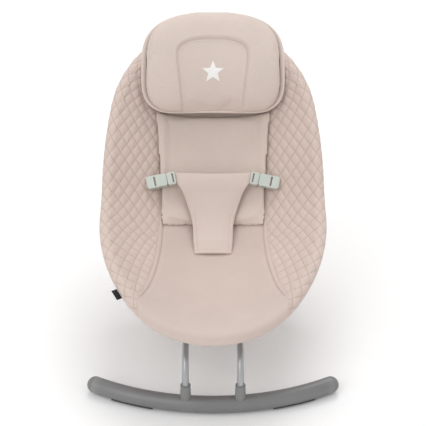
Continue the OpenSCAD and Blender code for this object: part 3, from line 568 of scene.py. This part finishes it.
diamond_w, diamond_l = 0.021, 0.036
diamond_pitch = diamond_w * diamond_l / math.hypot(diamond_w, diamond_l)
diamond_side = math.hypot(diamond_w, diamond_l) / 2
puff = 0.0024
puff_round = 0.55
seam_band = 0.007
band_lift = 0.0007
tube_steps = 26


def marks_of(tree):
    """A sheet's own marks, carried by its points."""
    return node(tree, "ShaderNodeAttribute", attribute_name="marks").outputs["Vector"]


def off_line(tree, place):
    """How far place is from the nearest whole number."""
    return math_node(tree, "SUBTRACT", place, math_node(tree, "ROUND", place))


def quilt_threads(tree):
    """Stitches on both families of quilting lines and along the band at the seam."""
    part = node(tree, "ShaderNodeSeparateXYZ", {0: marks_of(tree)})
    rows = []
    for line, other in ((0, 1), (1, 0)):
        across = times(tree, off_line(tree, part.outputs[line]), diamond_pitch)
        rows.append(stitched(tree, across, times(tree, part.outputs[other], diamond_side)))
    band = math_node(tree, "SUBTRACT", part.outputs[2], seam_band)
    run = math_node(tree, "SUBTRACT", part.outputs[0], part.outputs[1])
    run = times(tree, run, diamond_l / 2)
    lines = times(tree, math_node(tree, "MAXIMUM", *rows), remap(tree, band, 0, 0.001, 0, 1))
    return math_node(tree, "MAXIMUM", lines, stitched(tree, band, run))


def quilt_painted_shade(tree):
    """Painted shade in the stitched valleys of the quilting and along the seam edge."""
    part = node(tree, "ShaderNodeSeparateXYZ", {0: marks_of(tree)})
    nearest = [math_node(tree, "ABSOLUTE", off_line(tree, part.outputs[line])) for line in (0, 1)]
    valley = remap(tree, math_node(tree, "MINIMUM", *nearest), 0.015, 0.075, 1, 0)
    inside = remap(tree, part.outputs[2], seam_band, seam_band + 0.002, 0, 1)
    edge = remap(tree, part.outputs[2], 0.0, 0.0012, 1, 0)
    return math_node(tree, "MAXIMUM", times(tree, valley, inside), edge)


quilt_cloth = fabric("quilted_microfibre", tint(216, 197, 187), 1600, own_uv, quilt_threads, quilt_painted_shade)

# where the seam lies across each place on the ring, and where it runs out at both ends
seam_u = np.full_like(ring_v, 0.1)
for _ in range(40):
    seam_u = (ring_x - seam_half_w(ring_s + seam_u * np.sin(ring_turn))) / np.maximum(np.cos(ring_turn), 0.2)
    seam_u = np.clip(seam_u, 0, 0.13)
has_side = np.nonzero(seam_u > wrap_r * np.sin(lean))[0]
side_from, side_to = ring_v[has_side[0]], ring_v[has_side[-1]]
hip_v = toe_r * toe_a + leg_corner[0] * leg_corner[1] + leg_side[0] * leg_side[1] + hip_half_s
under_turn = math.radians(212)
notch_turn = math.radians(84)
notch_half, notch_blend = 0.023, 0.012
slant_run, slant_reach = 0.030, 0.07


def leave_u(v):
    """How far inside the ring's line the cloth leaves the tube, as a column."""
    return (wrap_r * np.sin(np.interp(v, ring_v, lean)))[:, None]


def slanted(v, turns):
    """v for each point on the tube: near the front the seam runs over the tube at a slant."""
    leave = leave_u(v)
    over = np.clip((wrap_r * np.sin(turns) + leave) / (wrap_r + leave), 0, 1)
    over = np.where(turns > math.pi / 2, 1, over)
    return v[:, None] - slant_run * over * (1 - step_up(np.abs(v - side_from), 0, slant_reach))[:, None]


def wrap_points(v, turns):
    """Points round the tube: turns go from the top (0) outwards and under; v is theirs."""
    x, s, heading = outline(v)
    out = wrap_r * np.sin(turns)
    return under(s - out * np.sin(heading), x + out * np.cos(heading), -wrap_r * np.cos(turns))


def wrap_turns(v):
    """For each v, the turns from the hem under the tube to where the cloth leaves it."""
    notch = 1 - step_up(np.abs(v - hip_v), notch_half, notch_half + notch_blend)
    first = under_turn - (under_turn - notch_turn) * notch
    last = -np.interp(v, ring_v, lean)
    return first[:, None] + (last - first)[:, None] * np.linspace(0, 1, tube_steps)[None, :]


def side_cover():
    """Points, cloth coordinates and marks of the right side cover."""
    per_diamond = 12
    v_step, u_step = diamond_l / per_diamond, diamond_w / per_diamond
    v = np.arange(math.floor(side_from / v_step), math.ceil(side_to / v_step) + 1) * v_step
    v = np.clip(v, side_from, side_to)
    x, s, heading = (a[:, None] for a in outline(v))
    tangent = leave_u(v)
    seam = np.maximum(np.interp(v, ring_v, seam_u)[:, None], tangent)
    turns = wrap_turns(v)
    wrap_v = slanted(v, turns)
    wrap = wrap_points(wrap_v, turns)
    u = np.clip(np.arange(1, math.ceil(seam.max() / u_step) + 1)[None, :] * u_step, tangent, seam)
    sx, ss = x - u * np.cos(heading), s + u * np.sin(heading)
    seam_tuck, tuck_w = 0.0016, 0.004
    tuck = seam_tuck * (1 - step_up(seam - u, 0, tuck_w))
    depth = seat_depth(ss, sx)
    panel = under(ss, sx, depth + tuck)
    points = np.concatenate([wrap, panel], axis=1)
    on_tube = np.where(turns > 0, -wrap_r * turns, -wrap_r * np.sin(turns))
    across = np.concatenate([on_tube, u], axis=1)
    lengths = np.linalg.norm(np.diff(points, axis=1), axis=-1)
    cloth_u = np.concatenate([np.zeros((len(v), 1)), np.cumsum(lengths, axis=1)], axis=1)
    # the quilting is cut straight down the cloth, so it slides with the sag: more on the leg part
    sunk = (depth + wrap_r) * np.interp(ss, [-0.06, 0.04], [1.0, 0.57])
    sunk = np.concatenate([np.zeros_like(turns), sunk], axis=1)
    along = np.concatenate([wrap_v, np.broadcast_to(v[:, None], u.shape)], axis=1)
    along = along - sunk * np.cos(heading)
    side = across - sunk * np.sin(heading)
    a = side / diamond_w + along / diamond_l
    b = side / diamond_w - along / diamond_l
    from_seam = seam - across
    cell = np.abs(np.sin(np.pi * a) * np.sin(np.pi * b)) ** puff_round
    fade = step_up(across, -0.020, -0.010) * step_up(from_seam, seam_band, seam_band + 0.004)
    band = band_lift * step_up(from_seam, 0.0005, 0.003)
    band = band * (1 - step_up(from_seam, seam_band - 0.002, seam_band))
    lift = puff * cell * fade + band
    normal = surface_normals(points)
    normal[:, :-1] = np.where(from_seam[:, :-1, None] < 1e-5, 0, normal[:, :-1])
    points = points + normal * lift[..., None]
    cloth = stacked(cloth_u, v[:, None])
    return points, cloth, stacked(a, b, from_seam)


cover_points, cover_cloth, cover_marks = side_cover()
cover_t = 0.0026
for side, sign in (("left", -1), ("right", 1)):
    placed = cover_points * np.array([sign, 1, 1])
    cover = cloth_grid("side_cover_" + side, placed, cover_cloth, cover_marks)
    sewn(cover, cover_t, up=(0, -0.3, 1))
    cover.data.materials.append(quilt_cloth)
    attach(cover, "seat")
    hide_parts("side_panel_" + side)
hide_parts("sleeve_back", "sleeve_leg")

# ---- Middle cover
# One piece of plain stretch microfibre from the crown to the front, sewn between the quilted sides
# with a sunk seam, and wrapped round the ring where the sides end.
lap = 0.004
middle_t = 0.0014
seam_sink = 0.0036
row_step, middle_steps = 0.004, 34
half_weld = 0.0002
plain_cloth = fabric("seat_microfibre", tint(211, 194, 185), 1500, own_uv)


def middle_rows(v, wrapped):
    """Points and cloth coordinates of rows from the ring, or from the seam, to the middle plane."""
    x, s, heading = (a[:, None] for a in outline(v))
    tangent = leave_u(v)
    ex, es = x - tangent * np.cos(heading), s + tangent * np.sin(heading)
    ms = row_middle(es)
    first = np.zeros_like(ex)
    if not wrapped:
        for _ in range(30):
            seam_x = seam_half_w(es + (ms - es) * first) + lap
            first = np.clip(1 - seam_x / np.maximum(ex, 1e-6), 0, 1)
    share = first + (1 - first) * np.linspace(0, 1, middle_steps + 1)[None, :] ** 0.9
    px, ps = ex * (1 - share), es + (ms - es) * share
    from_seam = (seam_half_w(ps) + lap - px) if not wrapped else np.ones_like(px)
    tuck = seam_sink * (1 - step_up(from_seam, 0.003, 0.009))
    tuck = tuck * step_up(ex - px, 0, 0.02)
    points = under(ps, px, seat_depth(ps, px) + tuck)
    if wrapped:
        turns = wrap_turns(v)
        wrap = wrap_points(slanted(v, turns), turns)
        points = np.concatenate([wrap, points[:, 1:]], axis=1)
    lengths = np.linalg.norm(np.diff(points, axis=1), axis=-1)
    run = np.cumsum(lengths[:, ::-1], axis=1)[:, ::-1]
    run = np.concatenate([run, np.zeros((len(v), 1))], axis=1)
    cloth = stacked(run, v[:, None])
    return points, cloth


parts = []
for low, high, wrapped in ((0, side_from, True), (side_from, side_to, False), (side_to, ring_length, True)):
    v = np.linspace(low, high, max(2, math.ceil((high - low) / row_step)) + 1)
    points, cloth = middle_rows(v, wrapped)
    parts.append(cloth_grid("middle_cover_part", points, cloth))
bpy.ops.object.select_all(action="DESELECT")
for part in parts:
    part.select_set(True)
bpy.context.view_layer.objects.active = parts[0]
bpy.ops.object.join()
middle = bpy.context.object
middle.name = "middle_cover"
both = middle.modifiers.new("both_halves", "MIRROR")
both.merge_threshold = half_weld
apply_all(middle)
sewn(middle, 0, up=(0, -0.3, 1), weld=half_weld)
sewn(middle, middle_t, up=(0, -0.3, 1))
middle.data.materials.append(plain_cloth)
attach(middle, "seat")
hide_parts("middle_panel")

# ---- Newborn insert
# A soft removable pad of the same microfibre with thin wadding and a bagged-out edge. It lies in
# the hollow from under the head pillow to the hip.
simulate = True


def subdivided(piece):
    """Applies one level of subdivision after the piece's other modifiers, with smooth shading."""
    finer = piece.modifiers.new("finer", "SUBSURF")
    finer.levels = 1
    apply_all(piece)
    bpy.ops.object.shade_smooth()


def puffed(piece, voxel, pressure, most, frames=20):
    """Remeshes a pad and blows it up by a cloth simulation; no point moves further than most."""
    only(piece)
    remesh = piece.modifiers.new("remesh", "REMESH")
    remesh.mode = "VOXEL"
    remesh.voxel_size = voxel
    apply_all(piece)
    start = points_of(piece)
    if simulate:
        scene = bpy.context.scene
        scene.frame_set(1)
        cloth = piece.modifiers.new("stuffing", "CLOTH")
        cloth.settings.use_pressure = True
        cloth.settings.uniform_pressure_force = pressure
        cloth.settings.effector_weights.gravity = 0
        cloth.settings.quality = 6
        cloth.point_cache.frame_start = 1
        cloth.point_cache.frame_end = frames
        for number in range(1, frames + 1):
            scene.frame_set(number)
        apply_all(piece)
        scene.frame_set(1)
        move = points_of(piece) - start
        size = np.maximum(np.linalg.norm(move, axis=1), 1e-9)
        move = move * (most * np.tanh(size / most) / size)[:, None]
        piece.data.vertices.foreach_set("co", (start + move).ravel())
    smooth = piece.modifiers.new("even", "SMOOTH")
    smooth.factor = 0.5
    smooth.iterations = 2
    subdivided(piece)


def reshaped(piece, move):
    """Moves a finished pad's points by move(points), which gives new points."""
    piece.data.vertices.foreach_set("co", move(points_of(piece)).ravel())
    piece.data.update()


def closed_pad(name, rows, columns, half_w, place):
    """A closed pad: each row is a flat oval section. place(t, x, top, rise) gives its points."""
    t = -np.cos(np.pi * np.arange(rows + 1) / rows)[:, None]
    angle = (2 * np.pi * np.arange(columns + 1) / columns)[None, :]
    across = np.sign(np.cos(angle)) * np.abs(np.cos(angle)) ** 0.45
    rise = np.sign(np.sin(angle)) * np.abs(np.sin(angle)) ** 0.8
    return sewn(cloth_grid(name, place(t, half_w(t) * across, across, rise)), 0)


insert_from, insert_to = -0.003, 0.217
insert_t = 0.0115
insert_front_half_w, insert_flare = 0.1075, 0.0150
front_bow = 0.013
edge_lift, under_gap = 0.0045, 0.0012


def insert_half_w(t):
    share = (t + 1) / 2
    corner = (1 - np.abs(t) ** 90) ** (1 / 8)
    return (insert_front_half_w + insert_flare * share) * np.maximum(corner, 0.02)


def insert_place(t, x, across, rise):
    s = insert_from + (insert_to - insert_from) * (t + 1) / 2
    s = s - front_bow * (x / 0.105) ** 2 * ((1 - t) / 2) ** 2
    thick = insert_t * (1 - np.abs(t) ** 16) ** 0.5
    over_quilt = edge_lift * step_up(np.abs(x), 0.092, 0.106) * step_up(s, 0.0, 0.08)
    d = seat_depth(s, x) - under_gap - thick / 2 - thick / 2 * rise - over_quilt
    return under(s, x, d)


insert_cloth = fabric("insert_microfibre", tint(218, 202, 192), 1500, slope_coordinates)
insert = closed_pad("newborn_pad", 60, 96, insert_half_w, insert_place)
puffed(insert, 0.004, 2.0, 0.002)
insert.data.materials.clear()
insert.data.materials.append(insert_cloth)
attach(insert, "seat")
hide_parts("newborn_insert")

# ---- Head pillow
# A stuffed pillow with a flat welt all round, sewn through along a horseshoe line to make a rest
# for the head, with a small plain star embroidered in the middle.
pillow_from, pillow_to = 0.203, 0.424
pillow_mid, pillow_half_l = (pillow_from + pillow_to) / 2, (pillow_to - pillow_from) / 2
pillow_half_w = 0.152
pillow_rim = -0.0175
pillow_sink = 0.036
welt_w = 0.0065
crown_h, base_h = 0.0215, 0.0045
shoe_top, shoe_half_w, shoe_taper, shoe_square = 0.36, 0.074, 0.014, 2.6
channel_depth, channel_half_w, rest_sink = 0.0055, 0.0028, 0.0050


def pillow_outline(t):
    """Half width as a share of the widest, t from -1 at the bottom to 1 at the top."""
    shift = 0.15
    up = np.clip((t + shift) / (1 + shift), 0, 1)
    down = np.clip(-(t + shift) / (1 - shift), 0, 1)
    return np.where(t > -shift, (1 - up ** 3.0) ** (1 / 2.5), (1 - down ** 4.2) ** (1 / 4.6))


def pillow_point(t, x, rise):
    """A point of the pillow: t along it, x across and rise above its welt's middle plane."""
    arch = 0.007 * (1 - np.clip(np.abs(x) / 0.11, 0, 1) ** 2) * np.clip(-t, 0, 1) ** 3
    s = pillow_mid + t * pillow_half_l + arch
    low = (1 - t) / 2
    dip = 0.010 * low * (1 - np.clip(x / pillow_half_w, -1, 1) ** 2)
    return under(s, x, pillow_rim + pillow_sink * low ** 3 + dip - rise)


def pillow_place(t, x, across, rise):
    edge = (1 - np.abs(t) ** 5) ** 0.5
    height = np.where(rise > 0, crown_h, base_h) * np.abs(rise) * edge * np.sign(rise)
    return pillow_point(t, x, height)


def flat_place(points):
    """The pillow's own t and x at each point, from its place along the slope."""
    known_s = 0.3
    known = under(known_s, 0.0, 0.0)
    along = (points[:, 1] - known[1]) * math.cos(back_tilt)
    along += (points[:, 2] - known[2]) * math.sin(back_tilt)
    return (along + known_s - pillow_mid) / pillow_half_l, points[:, 0]


def horseshoe_gap(t, x):
    """Distance inside the horseshoe line, in metres: below 0 outside it."""
    side = shoe_half_w - shoe_taper * np.clip(-(t + 0.1), 0, 1)
    y = (t - 0.02) * pillow_half_l
    rise = (shoe_top - 0.02) * pillow_half_l
    x_share, y_share = np.abs(x / side), np.clip(y / rise, 0, None)
    up = y_share ** 2 / np.maximum(x_share ** 2 + y_share ** 2, 1e-9)
    reach = (x_share ** shoe_square + y_share ** shoe_square) ** (1 / shoe_square)
    return (1 - reach) * (side + (rise - side) * up)


def sew_horseshoe(points):
    """The pillow's points after it is sewn through along the horseshoe line."""
    t, x = flat_place(points)
    gap = horseshoe_gap(t, x)
    low_end = step_up(t, -1.0, -0.95)
    channel = channel_depth * np.exp(-((gap / channel_half_w) ** 2))
    channel = channel + rest_sink * step_up(gap, -0.003, 0.010)
    out = np.array([0, -math.sin(back_tilt), math.cos(back_tilt)])
    rim = pillow_point(t, x, 0.0)
    above = step_up((points - rim) @ out, 0.0, 0.006)
    return points - (channel * above * low_end)[:, None] * out[None, :]


pillow_cloth = fabric("pillow_microfibre", tint(217, 201, 192), 1500, slope_coordinates)


def crown_half_w(t):
    return (pillow_half_w - welt_w) * pillow_outline(t)


pillow = closed_pad("head_pillow_pad", 56, 96, crown_half_w, pillow_place)
puffed(pillow, 0.0036, 4.0, 0.006)
reshaped(pillow, sew_horseshoe)
pillow.data.materials.clear()
pillow.data.materials.append(pillow_cloth)
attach(pillow, "seat")
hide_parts("head_pillow")

# the welt's section: how far in from the rim, and the rise as a share of its half thickness
welt_half_t, welt_root = 0.0011, 0.011
welt_section = [(0, 0), (0.0008, 1), (0.003, 1.25), (welt_w, 0.8)]
welt_section += [(welt_root, 0.2), (welt_root, -0.6), (welt_w, -1), (0.0008, -0.9)]


def welt():
    """The flat welt round the pillow, with a rounded rim."""
    turn = np.linspace(0, 2 * np.pi, 260, endpoint=False)
    t = np.sin(turn) * (1 - 1e-6)
    x = np.sign(np.cos(turn)) * pillow_outline(t) * pillow_half_w
    plan = stacked(x, t)
    scale = np.array([1, pillow_half_l])
    ahead = (np.roll(plan, -1, axis=0) - np.roll(plan, 1, axis=0)) * scale
    length = np.cumsum(np.linalg.norm(ahead, axis=1))
    even = np.linspace(length[0], length[-1], 300, endpoint=False)
    x, t = np.interp(even, length, x), np.interp(even, length, t)
    plan = stacked(x, t)
    ahead = (np.roll(plan, -1, axis=0) - np.roll(plan, 1, axis=0)) * scale
    inward = stacked(-ahead[:, 1], ahead[:, 0])
    inward = inward / np.linalg.norm(inward, axis=1, keepdims=True) / scale
    points = []
    for inset, rise in welt_section:
        at_t, at_x = t + inward[:, 1] * inset, x + inward[:, 0] * inset
        points.append(pillow_point(at_t, at_x, np.full_like(t, welt_half_t * rise)))
    points = np.stack(points, axis=1)
    points = np.concatenate([points, points[:, :1]], axis=1)
    points = np.concatenate([points, points[:1]], axis=0)
    from_rim = np.array([inset for inset, rise in welt_section] + [0])[None, :]
    along = np.append(even, length[-1])[:, None]
    marks = stacked(from_rim, along, 0)
    cloth = stacked(from_rim, along)
    return sewn(cloth_grid("head_pillow_welt", points, cloth, marks), 0)


def welt_part(tree, number):
    """The distance from the rim (0) or along it (1)."""
    return node(tree, "ShaderNodeSeparateXYZ", {0: marks_of(tree)}).outputs[number]


def welt_threads(tree):
    """One row of stitches just outside the seam."""
    across = math_node(tree, "SUBTRACT", welt_part(tree, 0), welt_w - 0.0015)
    return stitched(tree, across, welt_part(tree, 1))


def welt_painted_shade(tree):
    """Painted shade along the sunk seam line where the pillow's crown meets its welt."""
    return remap(tree, welt_part(tree, 0), welt_w - 0.0010, welt_w + 0.0002, 0, 1)


welt_tint = tint(222, 207, 198)
welt_cloth = fabric("welt_microfibre", welt_tint, 1500, slope_coordinates, welt_threads, welt_painted_shade)
pillow_welt = welt()
subdivided(pillow_welt)
pillow_welt.data.materials.append(welt_cloth)
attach(pillow_welt, "seat")

# the star is stitched on: its points are dropped on to the pillow's face from above
star_s, star_r = 0.281, 0.024
star_waist = 0.44
star_t = 0.0012
corners = np.arange(11)
corner_r = np.where(corners % 2 == 0, star_r, star_r * star_waist)
corner_a = math.pi / 2 + corners * math.pi / 5
rim = np.arange(0, 10.01, 1 / 6)
rim_x = np.interp(rim, corners, corner_r * np.cos(corner_a))
rim_s = np.interp(rim, corners, corner_r * np.sin(corner_a))
share = np.linspace(0.02, 1, 9)[:, None]
star_x, star_at = share * rim_x, star_s + share * rim_s
star_lift = np.broadcast_to(0.0004 + 0.0007 * (1 - share ** 6), star_x.shape)
down = -np.array([0, -math.sin(back_tilt), math.cos(back_tilt)])
star_points = under(star_at, star_x, -0.1)
for spot in np.ndindex(star_x.shape):
    place = pillow.ray_cast(star_points[spot], down)[1]
    star_points[spot] = np.array(place) - down * star_lift[spot]
star = cloth_grid("pillow_star", star_points, stacked(star_x, star_at))
sewn(star, star_t, up=tuple(-down), weld=0.0006)
satin_stitch = fabric("white_satin_stitch", tint(248, 246, 243), 900, own_uv, relief=0.0004)
star.data.materials.append(satin_stitch)
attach(star, "seat")

# ---- Crotch flap
# A padded flap sewn to the seat at its front hem. It rises between the legs, and its two wings end
# in webbing that is held by the buckles' plugs.
flap_from, flap_to = -0.066, 0.0805
flap_t = 0.0042
buckle_s, buckle_x, buckle_turn = 0.061, 0.1085, math.radians(12)
belt_w, belt_t = 0.020, 0.0014
buckle_d = 0.0398623
flap_edge_s = [-0.066, -0.040, -0.014, 0.000, 0.012, 0.034, 0.046, 0.057, 0.0805]
flap_edge_x = [0.0375, 0.0402, 0.0415, 0.0450, 0.0500, 0.0605, 0.0680, 0.0760, 0.0812]
hem_w, hem_line_w = 0.008, 0.0012
hem_groove, hem_lift = 0.0008, 0.0005
flap_lift, flap_puff = 0.0015, 0.0022
wing_from, wing_to = 0.045, 0.078
roll_r, roll_w = 0.0016, 0.003
blend_s, blend_from, blend_to = 0.061, 0.030, 0.072


def flap_half():
    """Points, cloth coordinates and marks of the right half of the flap's face."""
    s = np.linspace(flap_from, flap_to, 74)[:, None]
    width = np.interp(s, flap_edge_s, flap_edge_x)
    share = np.linspace(0, 1, 45)[None, :]
    x = width * share
    top_dip = 0.0035 * (1 - (x / 0.08) ** 2) * step_up(s, 0.04, flap_to)
    s = s - top_dip
    rise = step_up(s, flap_from - 0.01, 0.075)
    low = seat_depth(np.array(flap_from), np.array(0.0)) - flap_lift - flap_t
    climb = rise * 0.55 + 0.45 * (s - flap_from) / (flap_to - flap_from)
    d = low + (buckle_d - 0.003 - low) * climb
    d = d + (buckle_d - 0.0005 - d) * step_up(x, wing_from, wing_to) * step_up(s, 0.02, 0.05)
    d = d + 0.004 * (x / 0.08) ** 2 * (1 - step_up(s, 0.0, 0.05))
    edge = width - x
    hem = s - flap_from
    banded = 1 - step_up(s, 0.004, 0.022)
    near_side = 1 - step_up(edge, hem_w - hem_line_w, hem_w)
    near_hem = 1 - step_up(hem, hem_w - hem_line_w, hem_w)
    crease = np.exp(-(((edge - hem_w) / hem_line_w) ** 2)) * banded
    crease = crease + np.exp(-(((hem - hem_w) / hem_line_w) ** 2))
    soft = flap_puff * step_up(edge, 0.0, 0.02) * step_up(flap_to - s, 0, 0.02) * step_up(hem, hem_w, 0.03)
    d = d - soft + hem_groove * crease - hem_lift * np.maximum(near_side * banded, near_hem)
    roll = roll_r * (1 - step_up(edge, 0.0, roll_w))
    roll = roll + roll_r * (1 - step_up(flap_to - s - top_dip, 0, roll_w))
    points = under(s, x, d + roll)
    cloth = stacked(x, s)
    marks = stacked(edge - hem_w + 0.001, hem - hem_w + 0.001, s)
    return points, cloth, marks


def flap_threads(tree):
    """Stitches inside the folded sides and along the hem."""
    part = node(tree, "ShaderNodeSeparateXYZ", {0: marks_of(tree)})
    flat = node(tree, "ShaderNodeSeparateXYZ", {0: own_uv(tree)})
    sides = stitched(tree, part.outputs[0], part.outputs[2])
    sides = times(tree, sides, remap(tree, part.outputs[2], 0.008, 0.012, 1, 0))
    return math_node(tree, "MAXIMUM", sides, stitched(tree, part.outputs[1], flat.outputs[0]))


flap_cloth = fabric("flap_microfibre", tint(219, 203, 194), 1500, own_uv, flap_threads)
flap_points, flap_uv, flap_marks = flap_half()
for side, sign in (("left", -1), ("right", 1)):
    placed = flap_points * np.array([sign, 1, 1])
    flap = sewn(cloth_grid("crotch_flap_" + side, placed, flap_uv, flap_marks), flap_t, up=(0, -0.5, 1))
    flap.data.materials.append(flap_cloth)
    end = under(blend_s, sign * blend_to, buckle_d)
    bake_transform(flap)
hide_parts("crotch_flap")

# ---- Harness webbing
# Woven polyester tape with a ribbed face and bound edges: a short strap from each housing down
# through a buttonhole in the side cover, and the flap's tape in each plug.
tape_step = 0.0004
rib_h, rib_pitch = 0.00012, 0.0016
bound_w = 0.0012
web_cloth = fabric("ribbed_webbing", tint(206, 190, 180), 900, own_uv, relief=0.0004)


def buckle_point(x, y, z):
    """A point of the right buckle's own frame: x outwards, y up the back and z out of the seat."""
    turned_x = buckle_x + x * math.cos(buckle_turn) + y * math.sin(buckle_turn)
    turned_s = -x * math.sin(buckle_turn) + y * math.cos(buckle_turn)
    return under(buckle_s + turned_s, turned_x, buckle_d - z)


def tape(name, route, sign):
    """Webbing along a route of (x, z) points in the buckle's frame, with ribs across it."""
    route = np.array(route, float)
    length = np.concatenate([[0], np.cumsum(np.linalg.norm(np.diff(route, axis=0), axis=1))])
    run = np.arange(0, length[-1], tape_step)
    x, z = np.interp(run, length, route[:, 0]), np.interp(run, length, route[:, 1])
    for _ in range(3):
        x[1:-1] = (x[:-2] + 2 * x[1:-1] + x[2:]) / 4
        z[1:-1] = (z[:-2] + 2 * z[1:-1] + z[2:]) / 4
    dx, dz = np.gradient(x), np.gradient(z)
    size = np.hypot(dx, dz)
    nx, nz = -dz / size, dx / size
    half = belt_w / 2
    y = np.array([-half, -half + bound_w, -half / 3, half / 3, half - bound_w, half])
    bulge = np.array([0.0004, 0.0, 0.0001, 0.0001, 0.0, 0.0004]) + belt_t / 2 - 0.0003
    rib = rib_h * np.cos(2 * np.pi * run / rib_pitch)[:, None]
    faces = []
    for turn in (1, -1):
        rise = turn * (bulge[None, ::turn] + rib)
        width = np.broadcast_to(y[None, ::turn], rise.shape)
        face_x, face_z = x[:, None] + nx[:, None] * rise, z[:, None] + nz[:, None] * rise
        faces.append(buckle_point(face_x, width, face_z))
    points = np.concatenate([faces[0], faces[1], faces[0][:, :1]], axis=1) * np.array([sign, 1, 1])
    across = np.linspace(0, 2 * belt_w, points.shape[1])[None, :]
    cloth = stacked(across, run[:, None])
    piece = cloth_grid(name, points, cloth)
    sewn(piece, 0)
    # the two cut ends are closed
    bpy.ops.object.mode_set(mode="EDIT")
    bpy.ops.mesh.select_all(action="DESELECT")
    bpy.ops.mesh.select_non_manifold(extend=False, use_boundary=True)
    bpy.ops.mesh.edge_face_add()
    bpy.ops.mesh.select_all(action="SELECT")
    bpy.ops.mesh.normals_make_consistent(inside=False)
    bpy.ops.object.mode_set(mode="OBJECT")
    piece.data.materials.append(web_cloth)
    return piece


strap_route = [(0.0126, 0.0045), (0.0126, -0.0022), (0.0140, -0.0028), (0.0325, -0.0028)]
strap_route += [(0.0350, -0.0040), (0.0365, -0.0070), (0.0370, -0.0120)]
end_route = [(-0.0251, 0.0045), (-0.0251, -0.0052), (-0.0268, -0.0063), (-0.0335, -0.0063)]
for side, sign in (("left", -1), ("right", 1)):
    strap = tape("side_strap_tape_" + side, strap_route, sign)
    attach(strap, "seat")
    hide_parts("side_strap_" + side)
    end = tape("flap_tape_" + side, end_route, sign)
    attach(end, "plug_" + side)
    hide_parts("belt_end_" + side)

# ---- Side-release buckles
# Glossy acetal mouldings in pale greenish grey: a housing with a socket and side windows, and a
# plug with a guide tongue and two springy arms.
acetal = grained("buckle_acetal", tint(200, 207, 199), tint(222, 227, 221), 0.34, 900, 0.00004)
for side in ("left", "right"):
    dressed("buckle_housing_%s_shell" % side, "buckle_housing_" + side, acetal, 0.0009)
    dressed("buckle_plug_%s_shell" % side, "buckle_plug_" + side, acetal, 0.0007)
    for row in ("upper", "lower"):
        name = "latch_arm_%s_%s" % (row, side)
        dressed(name + "_shell", name, acetal, 0.0005)

# ---- Side tag
# A small black woven label, folded and caught in the cover's outer seam. It is left plain.
tag_cloth = fabric("woven_tag", tint(30, 30, 32), 2200, slope_coordinates)
dressed("side_tag_loop", "side_tag", tag_cloth, 0.0003)
